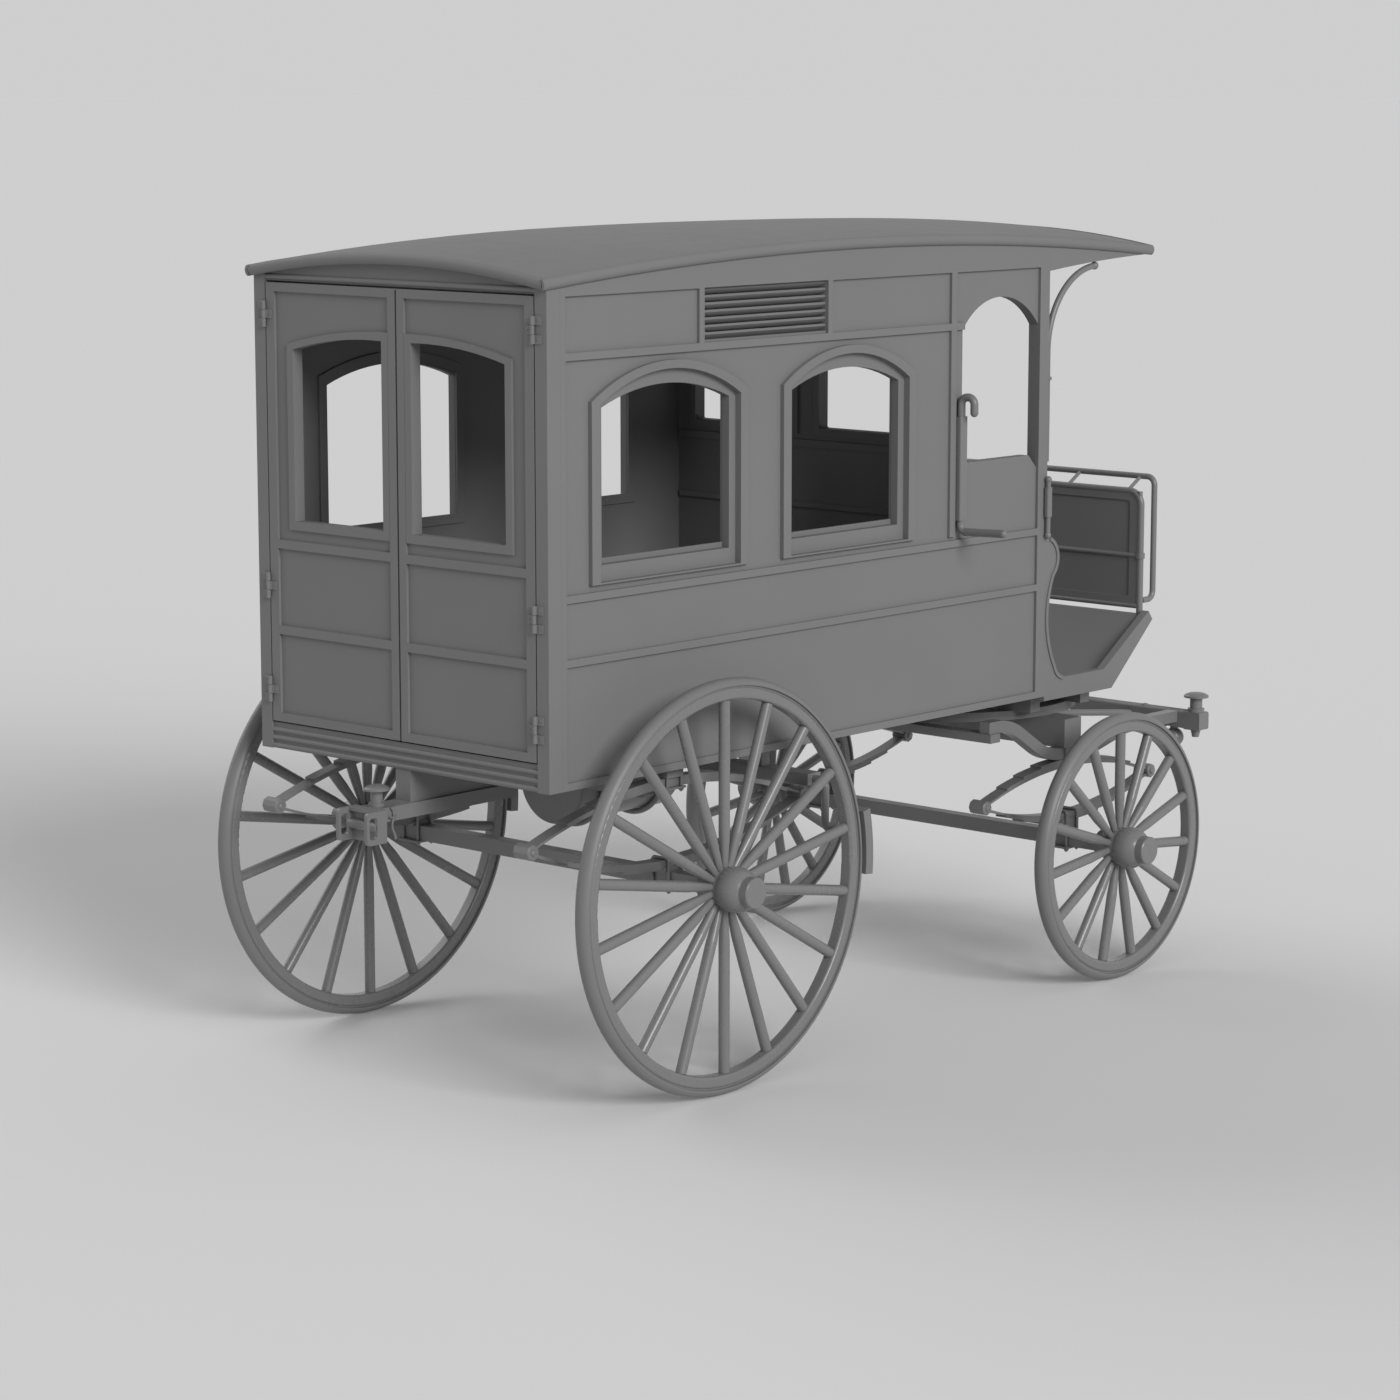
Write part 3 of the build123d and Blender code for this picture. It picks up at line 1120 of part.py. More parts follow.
with BuildPart() as straps:
    strap_r = TROUGH_R + SEAT_GAP + STRAP_R
    for share in (0.2, 0.8):
        x = at(TROUGH_BACK_X + TROUGH_LENGTH * share)
        with BuildLine() as strap_line:
            Line((x, -strap_r, BODY_BOTTOM_Z), (x, -strap_r, trough_axis_z))
            ThreePointArc(
                (x, -strap_r, trough_axis_z), (x, 0, trough_axis_z - strap_r), (x, strap_r, trough_axis_z)
            )
            Line((x, strap_r, trough_axis_z), (x, strap_r, BODY_BOTTOM_Z))
        with BuildSketch(Plane(origin=strap_line.line @ 0, z_dir=strap_line.line % 0)):
            Circle(STRAP_R)
        sweep(path=strap_line.line)
finish(straps.part, "trough_straps")

# Brake: a cross beam under the floor, curved arms and a shoe behind each arm
BRAKE_AHEAD = 613.0
BRAKE_W = 60.0
BRAKE_LOW_DROP = 136.0
BRAKE_BEAM_H = 35.0
BRAKE_HALF_INSET = 30.0
BRAKE_ARM_R = 12.0
BRAKE_ARM_Y_OUT = 14.0
BRAKE_ARM_DROP = 150.0
SHOE_GAP = 6.0
SHOE_T = 32.0
SHOE_W = 48.0
SHOE_LOW_DEG = -5.0
SHOE_HIGH_DEG = 13.0
brake_x = REAR_AXLE_X + BRAKE_AHEAD
brake_z = BODY_BOTTOM_Z - BRAKE_LOW_DROP
beam_half = SIDE_Y - BRAKE_HALF_INSET
shoe_in = REAR_WHEEL_R + SHOE_GAP
shoe_out = shoe_in + SHOE_T
shoe_angles = [math.radians(d) for d in (SHOE_LOW_DEG, (SHOE_LOW_DEG + SHOE_HIGH_DEG) / 2, SHOE_HIGH_DEG)]
arm_foot_z = brake_z - BRAKE_ARM_DROP + BRAKE_BEAM_H / 2
with BuildPart() as brake:
    with Locations((at(brake_x), 0, brake_z + BRAKE_BEAM_H / 2)):
        Box(BRAKE_W, 2 * beam_half, BRAKE_BEAM_H)
    hanger_h = BODY_BOTTOM_Z - brake_z - BRAKE_BEAM_H
    for y in (-beam_half * 0.62, beam_half * 0.62):
        with Locations((at(brake_x), y, BODY_BOTTOM_Z - hanger_h / 2)):
            Box(BRAKE_W * 0.6, BRAKE_W * 0.7, hanger_h)
    for side in (-1, 1):
        arm_y = side * (SIDE_Y + BRAKE_ARM_Y_OUT)
        with BuildLine() as arm_line:
            FilletPolyline(
                (at(brake_x), side * (beam_half - 10), brake_z + BRAKE_BEAM_H / 2),
                (at(brake_x), arm_y, brake_z + BRAKE_BEAM_H / 2),
                (at(brake_x), arm_y, arm_foot_z),
                (at(brake_x + BRAKE_W / 2), side * (WHEEL_Y - SHOE_W / 4), arm_foot_z),
                radius=24,
            )
        with BuildSketch(Plane(origin=arm_line.line @ 0, z_dir=arm_line.line % 0)):
            Circle(BRAKE_ARM_R)
        sweep(path=arm_line.line)
        with BuildSketch(side_view(side * WHEEL_Y + SHOE_W / 2, REAR_AXLE_X, AXLE_REAR_Z)):
            with BuildLine():
                inner = [(shoe_in * math.cos(a), shoe_in * math.sin(a)) for a in shoe_angles]
                outer = [(shoe_out * math.cos(a), shoe_out * math.sin(a)) for a in shoe_angles]
                ThreePointArc(*inner)
                Line(inner[2], outer[2])
                ThreePointArc(outer[2], outer[1], outer[0])
                Line(outer[0], inner[0])
            make_face()
        extrude(amount=SHOE_W)
finish(brake.part, "brake")

# Turntable: upper ring and transoms under the footwell
TRANSOM_BAR_W = 50.0
TRANSOM_STEP = 136.0
TRANSOM_HALF = 500.0
HEAD_BLOCK = (222.0, 120.0)
with BuildPart() as upper_ring:
    with BuildSketch(Plane.XY.offset(UPPER_RING_Z)):
        with Locations((at(KING_X), 0)):
            Circle(RING_R)
            Circle(RING_R - RING_WIDTH, mode=Mode.SUBTRACT)
    extrude(amount=RING_T)
    with BuildSketch(Plane.XY.offset(UPPER_RING_Z + RING_T)):
        with Locations((at(KING_X - TRANSOM_STEP), 0), (at(KING_X + TRANSOM_STEP), 0)):
            Rectangle(TRANSOM_BAR_W, 2 * min(TRANSOM_HALF, INNER_HALF))
        with Locations((at(KING_X), 0)):
            Rectangle(*HEAD_BLOCK)
    extrude(amount=TRANSOM_H)
    with BuildSketch(Plane.XY.offset(UPPER_RING_Z)):
        with Locations((at(KING_X), 0)):
            Circle(KING_PIN_R + PIN_FIT)
    extrude(amount=TRANSOM_H + RING_T, mode=Mode.SUBTRACT)
finish(upper_ring.part, "upper_ring")

with BuildPart() as lower_ring:
    with BuildSketch(Plane.XY.offset(RING_Z)):
        with Locations((at(KING_X), 0)):
            Circle(RING_R)
            Circle(RING_R - RING_WIDTH, mode=Mode.SUBTRACT)
    extrude(amount=RING_T)
    # Two ball nuts under the ring on each side
    for angle in (50, 57, -50, -57):
        with Locations(Plane(origin=(at(KING_X), 0, RING_Z - 10)).location):
            with PolarLocations(RING_R - RING_WIDTH / 2, 1, start_angle=angle):
                Sphere(14)
finish(lower_ring.part, "lower_ring")

BOLSTER_W = 90.0
with BuildPart() as lower_bed:
    with BuildSketch(Plane.XY.offset(BOLSTER_Z)):
        with Locations((at(KING_X), 0)):
            Rectangle(BOLSTER_W, 2 * SPRING_Y + SPRING_WIDTH + 16)
    extrude(amount=BOLSTER_H)
finish(lower_bed.part, "front_bolster")

PIN_TOP_GAP = 10.0
with BuildPart() as king_pin:
    with BuildSketch(Plane.XY.offset(RING_Z)):
        with Locations((at(KING_X), 0)):
            Circle(KING_PIN_R)
    extrude(amount=FOOTWELL_Z - RING_Z - PIN_TOP_GAP)
finish(king_pin.part, "king_pin")

# Futchells: bent bars from the sway bar down over the springs and on to the splinter bar
SWAY_BACK = 434.0
SWAY_RISE = 132.0
SWAY_BAR_W = 50.0
SWAY_BAR_H = 28.0
FUTCHELL_END_RISE = 42.0
FUTCHELL_BEND_R = 230.0
futchell_end = SPLINTER_X - SPLINTER_DEPTH / 2
with BuildPart() as futchells:
    with BuildSketch(side_view(-SPRING_Y + FUTCHELL_W / 2, KING_X, FUTCHELL_Z)):
        with BuildLine():
            FilletPolyline(
                (-SWAY_BACK, SWAY_RISE),
                (-SWAY_BACK + 110, SWAY_RISE),
                (-113, 0),
                (141, 0),
                (321, FUTCHELL_END_RISE),
                (futchell_end - KING_X, FUTCHELL_END_RISE),
                radius=FUTCHELL_BEND_R,
            )
        trace(line_width=FUTCHELL_H)
    extrude(amount=FUTCHELL_W)
    mirror(about=Plane.XZ)
finish(futchells.part, "futchells")

with BuildPart() as sway_bar:
    with Locations(
        (
            at(KING_X - SWAY_BACK + 18),
            0,
            FUTCHELL_Z + SWAY_RISE - FUTCHELL_H / 2 - SWAY_BAR_H / 2,
        )
    ):
        Box(SWAY_BAR_W, 2 * SPRING_Y + 60, SWAY_BAR_H)
finish(sway_bar.part, "sway_bar")

# Splinter bar: deeper at its ends, with iron ferrules
SPLINTER_HALF = 633.0
FERRULE_L = 66.0
SPLINTER_END_H = 57.0
SPLINTER_MID_H = 42.0
FERRULE_OVER = 3.0
BALL_R = 33.0
BALL_Y = 512.0
BALL_NECK = 8.0
splinter_top = FUTCHELL_Z + FUTCHELL_END_RISE + FUTCHELL_H / 2
with BuildPart() as splinter:
    with BuildSketch(rear_view(SPLINTER_X - SPLINTER_DEPTH / 2)):
        with BuildLine():
            Polyline(
                (-SPLINTER_HALF + FERRULE_L, splinter_top - SPLINTER_END_H),
                (0, splinter_top - SPLINTER_MID_H),
                (SPLINTER_HALF - FERRULE_L, splinter_top - SPLINTER_END_H),
                (SPLINTER_HALF - FERRULE_L, splinter_top),
                (-SPLINTER_HALF + FERRULE_L, splinter_top),
                close=True,
            )
        make_face()
    extrude(amount=-SPLINTER_DEPTH)
    fillet(splinter.edges().filter_by(Axis.Y), 6)
finish(splinter.part, "splinter_bar")

with BuildPart() as ferrules:
    for side in (-1, 1):
        with BuildSketch(rear_view(SPLINTER_X - SPLINTER_DEPTH / 2)):
            with Locations(
                (
                    side * (SPLINTER_HALF - FERRULE_L / 2),
                    splinter_top - (SPLINTER_END_H + FERRULE_OVER) / 2,
                )
            ):
                Rectangle(FERRULE_L, SPLINTER_END_H + FERRULE_OVER)
        extrude(amount=-SPLINTER_DEPTH)
    fillet(ferrules.edges().filter_by(Axis.X), 7)
    # Nut under each end bolt, and a ball hung inboard of it
    nut_z = splinter_top - SPLINTER_END_H - FERRULE_OVER
    for side in (-1, 1):
        with BuildSketch(Plane.XY.offset(nut_z)):
            with Locations((at(SPLINTER_X), side * (SPLINTER_HALF - FERRULE_L / 2))):
                Circle(18)
        extrude(amount=-26, taper=14)
    for side in (-1, 1):
        bar_low = splinter_top - SPLINTER_MID_H - (SPLINTER_END_H - SPLINTER_MID_H) * BALL_Y / (
            SPLINTER_HALF - FERRULE_L
        )
        with Locations((at(SPLINTER_X), side * BALL_Y, bar_low - BALL_NECK - BALL_R)):
            Sphere(BALL_R)
        with BuildSketch(Plane.XY.offset(bar_low - SEAT_GAP)):
            with Locations((at(SPLINTER_X), side * BALL_Y)):
                Circle(14)
        extrude(amount=-2 * BALL_NECK)
finish(ferrules.part, "splinter_ferrules")

# Stays from the bolster to the splinter bar
STAY_R = 11.0
STAY_IN_Y = 90.0
STAY_OUT_Y = 357.0
STAY_RISE = 60.0
STAY_END_DROP = 30.0
stay_back = KING_X + BOLSTER_W / 2
stay_front = SPLINTER_X - SPLINTER_DEPTH / 2
stay_mid = (stay_back + stay_front) / 2
with BuildPart() as stays:
    for side in (-1, 1):
        add(
            bar(
                (at(KING_X), side * STAY_IN_Y, BOLSTER_Z + STAY_RISE),
                (at(SPLINTER_X), side * STAY_OUT_Y, splinter_top - STAY_END_DROP),
                STAY_R,
            )
        )
    # Both ends are cut flush with the faces that they meet.
    with Locations((at(stay_mid), 0, BOLSTER_Z)):
        Box(stay_front - stay_back - 2 * SEAT_GAP, BODY_WIDTH, 4 * STAY_RISE, mode=Mode.INTERSECT)
finish(stays.part, "splinter_stays")

# Tow beam and head at the rear
TOW_HEAD_LENGTH = 78.0
TOW_BEAM_FRONT = 430.0
TOW_TOP_DROP = 93.0
TOW_HEAD_H = 96.0
TOW_HEAD_HALF = 65.0
TOW_BEAM_H = 42.0
TOW_BEAM_W = 80.0
TOW_PACK_W = 60.0
TOW_PLATE_T = 12.0
TOW_LOOP = (30.0, 62.0)
TOW_ROLLER_R = 15.0
tow_top = BODY_BOTTOM_Z - TOW_TOP_DROP
tow_joint_x = TOW_BACK_X + TOW_HEAD_LENGTH
with BuildPart() as tow_beam:
    with BuildSketch(Plane.XY.offset(tow_top - TOW_BEAM_H)):
        with Locations((at((tow_joint_x + TOW_BEAM_FRONT) / 2), 0)):
            Rectangle(TOW_BEAM_FRONT - tow_joint_x, TOW_BEAM_W)
    extrude(amount=TOW_BEAM_H)
    with BuildSketch(Plane.XY.offset(tow_top)):
        with Locations((at(TOW_BEAM_FRONT / 2), 0)):
            Rectangle(TOW_BEAM_FRONT, TOW_PACK_W)
    extrude(amount=TOW_TOP_DROP)
finish(tow_beam.part, "tow_beam")

# The head: two cheeks with D loops, a web behind them and a roller across
with BuildPart() as tow_head:
    for side in (-1, 1):
        with BuildSketch(side_view(side * (TOW_HEAD_HALF - TOW_PLATE_T / 2) + TOW_PLATE_T / 2)):
            with Locations((TOW_BACK_X + TOW_HEAD_LENGTH / 2, tow_top - TOW_HEAD_H / 2)):
                RectangleRounded(TOW_HEAD_LENGTH, TOW_HEAD_H, 14)
            with Locations((tow_joint_x - TOW_HEAD_LENGTH / 4, tow_top - TOW_HEAD_H / 2)):
                Rectangle(TOW_HEAD_LENGTH / 2, TOW_HEAD_H)
            with Locations((TOW_BACK_X + TOW_LOOP[0] / 2 + 10, tow_top - TOW_HEAD_H / 2)):
                RectangleRounded(*TOW_LOOP, 9, mode=Mode.SUBTRACT)
        extrude(amount=TOW_PLATE_T)
    with Locations((at(tow_joint_x - 12), 0, tow_top - TOW_HEAD_H / 2)):
        Box(24, 2 * TOW_HEAD_HALF - TOW_PLATE_T, TOW_HEAD_H)
    with Locations((at(tow_joint_x - TOW_HEAD_LENGTH / 4), 0, tow_top - 5)):
        Box(TOW_HEAD_LENGTH / 2, 2 * TOW_HEAD_HALF - TOW_PLATE_T, 10)
    with Locations(
        Plane(origin=(at(TOW_BACK_X + TOW_LOOP[0] + 20), 0, tow_top - TOW_HEAD_H / 2), z_dir=(0, 1, 0))
    ):
        Cylinder(TOW_ROLLER_R, 2 * TOW_HEAD_HALF - TOW_PLATE_T)
finish(tow_head.part, "tow_head")

# Capped bolts: a flange, a neck that the strap or hook goes round, and a domed cap
# x, y, seat height, neck radius, neck length, cap radius
TRACE_BOLT = (21.0, 38.0, TRACE_CAP_R)
TOW_BOLT = (17.5, 35.0, 37.0)
TOW_BOLT_AHEAD = 22.0
FLANGE_T = 12.0
FLANGE_SHARE = 1.35
CAP_T = 16.0
INNER_TRACE_Y = 100.0
trace_y = SPLINTER_HALF - FERRULE_L / 2
CAPPED_BOLTS = {
    "roller_bolts": [
        (SPLINTER_X, y, splinter_top, *TRACE_BOLT) for y in (-trace_y, -INNER_TRACE_Y, INNER_TRACE_Y, trace_y)
    ],
    "tow_bolt": [(tow_joint_x + TOW_BOLT_AHEAD, 0.0, tow_top, *TOW_BOLT)],
}
for name, places in CAPPED_BOLTS.items():
    with BuildPart() as capped:
        for x, y, seat, neck_r, neck_l, cap_r in places:
            with BuildSketch(side_view(y, x, seat)):
                with BuildLine():
                    cap_low = FLANGE_T + neck_l
                    Polyline(
                        (0, 0),
                        (neck_r * FLANGE_SHARE, 0),
                        (neck_r * FLANGE_SHARE, FLANGE_T),
                        (neck_r, FLANGE_T),
                        (neck_r, cap_low),
                        (cap_r, cap_low),
                        (cap_r, cap_low + CAP_T * 0.35),
                        (cap_r * 0.85, cap_low + CAP_T * 0.65),
                        (cap_r * 0.6, cap_low + CAP_T * 0.9),
                        (cap_r * 0.3, cap_low + CAP_T),
                        (0, cap_low + CAP_T),
                        close=True,
                    )
                make_face()
            revolve(axis=Axis((at(x), y, 0), (0, 0, 1)))
    finish(capped.part, name)
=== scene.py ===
"""Looks of the carriage: materials, small trim, studio, camera and lights."""

import json
import logging
import math
from dataclasses import dataclass
from enum import Enum
from typing import Sequence

import bmesh
import bpy
from mathutils import Matrix, Vector


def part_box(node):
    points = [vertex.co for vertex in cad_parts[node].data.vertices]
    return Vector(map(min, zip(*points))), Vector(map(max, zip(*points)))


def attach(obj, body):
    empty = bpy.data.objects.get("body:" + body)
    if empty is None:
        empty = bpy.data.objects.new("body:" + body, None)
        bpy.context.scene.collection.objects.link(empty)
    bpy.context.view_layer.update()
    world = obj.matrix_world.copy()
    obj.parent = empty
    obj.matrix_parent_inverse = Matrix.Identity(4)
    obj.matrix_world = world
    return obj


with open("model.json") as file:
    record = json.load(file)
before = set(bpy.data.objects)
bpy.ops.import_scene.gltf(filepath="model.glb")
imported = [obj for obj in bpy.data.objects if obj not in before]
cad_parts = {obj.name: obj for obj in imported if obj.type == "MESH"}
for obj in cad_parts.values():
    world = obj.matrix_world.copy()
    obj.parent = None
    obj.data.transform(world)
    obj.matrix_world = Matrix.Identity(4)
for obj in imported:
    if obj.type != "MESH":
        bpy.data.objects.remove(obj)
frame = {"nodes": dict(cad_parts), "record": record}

LOG = logging.getLogger("carriage")
Point = tuple[float, float, float]
Pair = tuple[float, float]

# Measures that several classes share.
MM = 0.001
TINY = 2e-6  # Points that lie closer than this are one.
FIT = 0.3 * MM  # The gap that a piece keeps to what it sits on.
FRAME_PROUD = 8.0 * MM  # How far the rear frame stands out behind the body.
SHARP = math.radians(35.0)  # Edges that turn more than this stay sharp.
SLIMMEST_MITRE = 0.3  # Keeps a very tight corner of a sweep from running far out.

# Bodies of the record that the added pieces ride on.
BODY = "carriage_body"
FORE = "fore_carriage"
LEAF_BODIES = {"right": "rear_door_right_leaf", "left": "rear_door_left_leaf"}

# Sockets of the colour mixing node: its two colours and its result.
MIX_A, MIX_B, MIX_RESULT = 6, 7, 2

X_AXIS = Vector((1.0, 0.0, 0.0))
Y_AXIS = Vector((0.0, 1.0, 0.0))
Z_AXIS = Vector((0.0, 0.0, 1.0))


class Surface(Enum):
    """What a piece is made of under its paint."""

    WOOD = "wood"
    IRON = "iron"
    RUBBER = "rubber"


class Grain(Enum):
    """The way that the wood under the paint runs, as the texture's scale along each axis."""

    NONE = (1.0, 1.0, 1.0)
    ALONG = (1.5, 26.0, 26.0)
    ACROSS = (26.0, 1.5, 26.0)
    UPRIGHT = (26.0, 26.0, 1.5)


@dataclass(frozen=True)
class Finish:
    """A painted finish.

    Args:
        name: The paint's name.
        slot: The record's material slot that it belongs to.
        surface: What lies under the paint.
        grey: The paint's grey, linear.
        roughness: The shader's mean roughness.
        relief: Strength of the relief under the paint.
        edge: Radius that the paint rounds edges to, in metres.
        shine: The shader's specular level.
    """

    name: str
    slot: str
    surface: Surface
    grey: float
    roughness: float
    relief: float
    edge: float
    shine: float


# One grey covers the whole carriage, so the finishes differ in sheen and relief more than in tone.
WOOD_PAINT = Finish("body_paint", "painted_wood", Surface.WOOD, 0.184, 0.58, 0.16, 1.7 * MM, 0.20)
WHEEL_PAINT = Finish("wheel_paint", "painted_wood", Surface.WOOD, 0.180, 0.26, 0.06, 2.4 * MM, 0.50)
IRON_PAINT = Finish("iron_paint", "painted_iron", Surface.IRON, 0.178, 0.33, 0.14, 1.4 * MM, 0.42)
TYRE_PAINT = Finish("tyre_paint", "tyre_rubber", Surface.RUBBER, 0.176, 0.42, 0.12, 1.6 * MM, 0.35)

# How the names of the wheels' wooden nodes end.
WHEEL_WOOD = ("_spokes", "_felloe", "_hub")


class NodeTree:
    """A thin builder over the node tree of a material or a world."""

    def __init__(self, owner: bpy.types.Material | bpy.types.World) -> None:
        """Clear the node tree of a material or a world.

        Args:
            owner: The material or world whose tree is cleared and built.
        """
        owner.use_nodes = True
        self.tree = owner.node_tree
        self.tree.nodes.clear()

    def add(self, kind: str, **values: object) -> bpy.types.Node:
        """Add a node and set its attributes and input values.

        Args:
            kind: The node's type name.
            values: Attributes, or input sockets by name.

        Returns:
            The new node.
        """
        node = self.tree.nodes.new(kind)
        for key, value in values.items():
            if hasattr(node, key):
                setattr(node, key, value)
            else:
                node.inputs[key.replace("_", " ")].default_value = value
        return node

    def link(self, source: bpy.types.NodeSocket, target: bpy.types.NodeSocket) -> None:
        """Join two sockets."""
        self.tree.links.new(source, target)


class Paintwork:
    """Makes the procedural paints, one for each finish and run of the grain."""

    def __init__(self) -> None:
        """Start with no paint made."""
        self._made: dict[tuple[str, Grain], bpy.types.Material] = {}

    def material(self, finish: Finish, grain: Grain = Grain.NONE) -> bpy.types.Material:
        """Give the paint of a finish, made on its first use.

        Args:
            finish: The finish.
            grain: The way that the wood under it runs.

        Returns:
            The material.
        """
        key = (finish.name, grain)
        if key not in self._made:
            self._made[key] = self._mix(finish, grain)
        return self._made[key]

    def _mix(self, finish: Finish, grain: Grain) -> bpy.types.Material:
        """Build the nodes of one paint.

        Args:
            finish: The finish.
            grain: The way that the wood under it runs.

        Returns:
            The material.
        """
        material = bpy.data.materials.new(f"{finish.name}_{grain.name.lower()}")
        nodes = NodeTree(material)
        coords = nodes.add("ShaderNodeTexCoord").outputs["Object"]
        height = self._relief(nodes, coords, finish, grain)
        # Broad, faint clouds in the grey.
        cloud = nodes.add("ShaderNodeTexNoise", Scale=2.2, Detail=3.0, Roughness=0.55)
        nodes.link(coords, cloud.inputs["Vector"])
        tone = nodes.add("ShaderNodeMapRange", To_Min=0.94, To_Max=1.06)
        nodes.link(cloud.outputs["Fac"], tone.inputs["Value"])
        colour = nodes.add("ShaderNodeMix", data_type="RGBA", blend_type="MULTIPLY")
        colour.inputs["Factor"].default_value = 1.0
        colour.inputs[MIX_A].default_value = (finish.grey, finish.grey, finish.grey, 1.0)
        nodes.link(tone.outputs["Result"], colour.inputs[MIX_B])
        # A sheen that changes slowly across the piece.
        sheen = nodes.add("ShaderNodeTexNoise", Scale=14.0, Detail=4.0, Roughness=0.6)
        nodes.link(coords, sheen.inputs["Vector"])
        rough = nodes.add(
            "ShaderNodeMapRange", To_Min=finish.roughness - 0.07, To_Max=finish.roughness + 0.08
        )
        nodes.link(sheen.outputs["Fac"], rough.inputs["Value"])
        # Edges rounded by the coats of paint, over the relief of what lies under them.
        edge = nodes.add("ShaderNodeBevel", samples=4, Radius=finish.edge)
        bump = nodes.add("ShaderNodeBump", Strength=finish.relief, Distance=0.0008)
        nodes.link(height, bump.inputs["Height"])
        nodes.link(edge.outputs["Normal"], bump.inputs["Normal"])
        shader = nodes.add("ShaderNodeBsdfPrincipled")
        shader.inputs["Specular IOR Level"].default_value = finish.shine
        nodes.link(colour.outputs[MIX_RESULT], shader.inputs["Base Color"])
        nodes.link(rough.outputs["Result"], shader.inputs["Roughness"])
        nodes.link(bump.outputs["Normal"], shader.inputs["Normal"])
        output = nodes.add("ShaderNodeOutputMaterial")
        nodes.link(shader.outputs["BSDF"], output.inputs["Surface"])
        return material

    @staticmethod
    def _relief(
        nodes: NodeTree, coords: bpy.types.NodeSocket, finish: Finish, grain: Grain
    ) -> bpy.types.NodeSocket:
        """Give the height of brushed wood, forged iron or rubber under the paint.

        Args:
            nodes: The paint's node tree.
            coords: The socket that gives a place on the piece.
            finish: The finish.
            grain: The way that the wood under it runs.

        Returns:
            The socket that gives the height.
        """
        if finish.surface is Surface.WOOD:
            # Fibres, drawn out along the grain.
            mapping = nodes.add("ShaderNodeMapping")
            mapping.inputs["Scale"].default_value = grain.value
            nodes.link(coords, mapping.inputs["Vector"])
            fibres = nodes.add("ShaderNodeTexNoise", Scale=9.0, Detail=6.0, Roughness=0.62)
            nodes.link(mapping.outputs["Vector"], fibres.inputs["Vector"])
            return fibres.outputs["Fac"]
        if finish.surface is Surface.IRON:
            # Shallow hammer marks, broken up by a slower swell.
            pits = nodes.add("ShaderNodeTexVoronoi", Scale=120.0, feature="SMOOTH_F1")
            nodes.link(coords, pits.inputs["Vector"])
            swell = nodes.add("ShaderNodeTexNoise", Scale=42.0, Detail=4.0, Roughness=0.55)
            nodes.link(coords, swell.inputs["Vector"])
            both = nodes.add("ShaderNodeMath", operation="MULTIPLY")
            nodes.link(pits.outputs["Distance"], both.inputs[0])
            nodes.link(swell.outputs["Fac"], both.inputs[1])
            return both.outputs[0]
        skin = nodes.add("ShaderNodeTexNoise", Scale=90.0, Detail=3.0, Roughness=0.5)
        nodes.link(coords, skin.inputs["Vector"])
        return skin.outputs["Fac"]


def grain_of(low: Sequence[float], high: Sequence[float]) -> Grain:
    """Give the grain that runs along a board's longest side."""
    spans = [high[axis] - low[axis] for axis in range(3)]
    return (Grain.ALONG, Grain.ACROSS, Grain.UPRIGHT)[spans.index(max(spans))]


def paint_nodes(paints: Paintwork) -> None:
    """Give each CAD node the paint of its record slot.

    Args:
        paints: Where the paints come from.
    """
    finishes = {finish.slot: finish for finish in (WOOD_PAINT, IRON_PAINT, TYRE_PAINT)}
    for row in frame["record"]["subparts"]:
        name = row["node"]
        finish = WHEEL_PAINT if name.endswith(WHEEL_WOOD) else finishes[row["material_slot"]]
        grain = grain_of(*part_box(name)) if finish is WOOD_PAINT else Grain.NONE
        data = frame["nodes"][name].data
        data.materials.clear()
        data.materials.append(paints.material(finish, grain))
        for polygon in data.polygons:
            polygon.material_index = 0


def circle(radius: float, sides: int) -> list[Pair]:
    """Give a regular outline about the origin."""
    return [
        (radius * math.cos(2 * math.pi * k / sides), radius * math.sin(2 * math.pi * k / sides))
        for k in range(sides)
    ]


def rounded(points: Sequence[Point], radius: float, steps: int = 6) -> list[Vector]:
    """Round the corners of a line of points.

    Args:
        points: The corners, the first and last being the ends.
        radius: The corners' radius.
        steps: How many chords each corner gets.

    Returns:
        The rounded line.
    """
    corners = [Vector(point) for point in points]
    line = [corners[0]]
    for before, corner, after in zip(corners, corners[1:], corners[2:]):
        back = (before - corner).normalized()
        ahead = (after - corner).normalized()
        half = back.angle(ahead) / 2
        reach = radius / math.tan(half)
        centre = corner + (back + ahead).normalized() * (radius / math.sin(half))
        first = corner + back * reach - centre
        last = corner + ahead * reach - centre
        for step in range(steps + 1):
            spoke = first.slerp(last, step / steps) if first.cross(last).length else first
            line.append(centre + spoke.normalized() * radius)
    line.append(corners[-1])
    return line


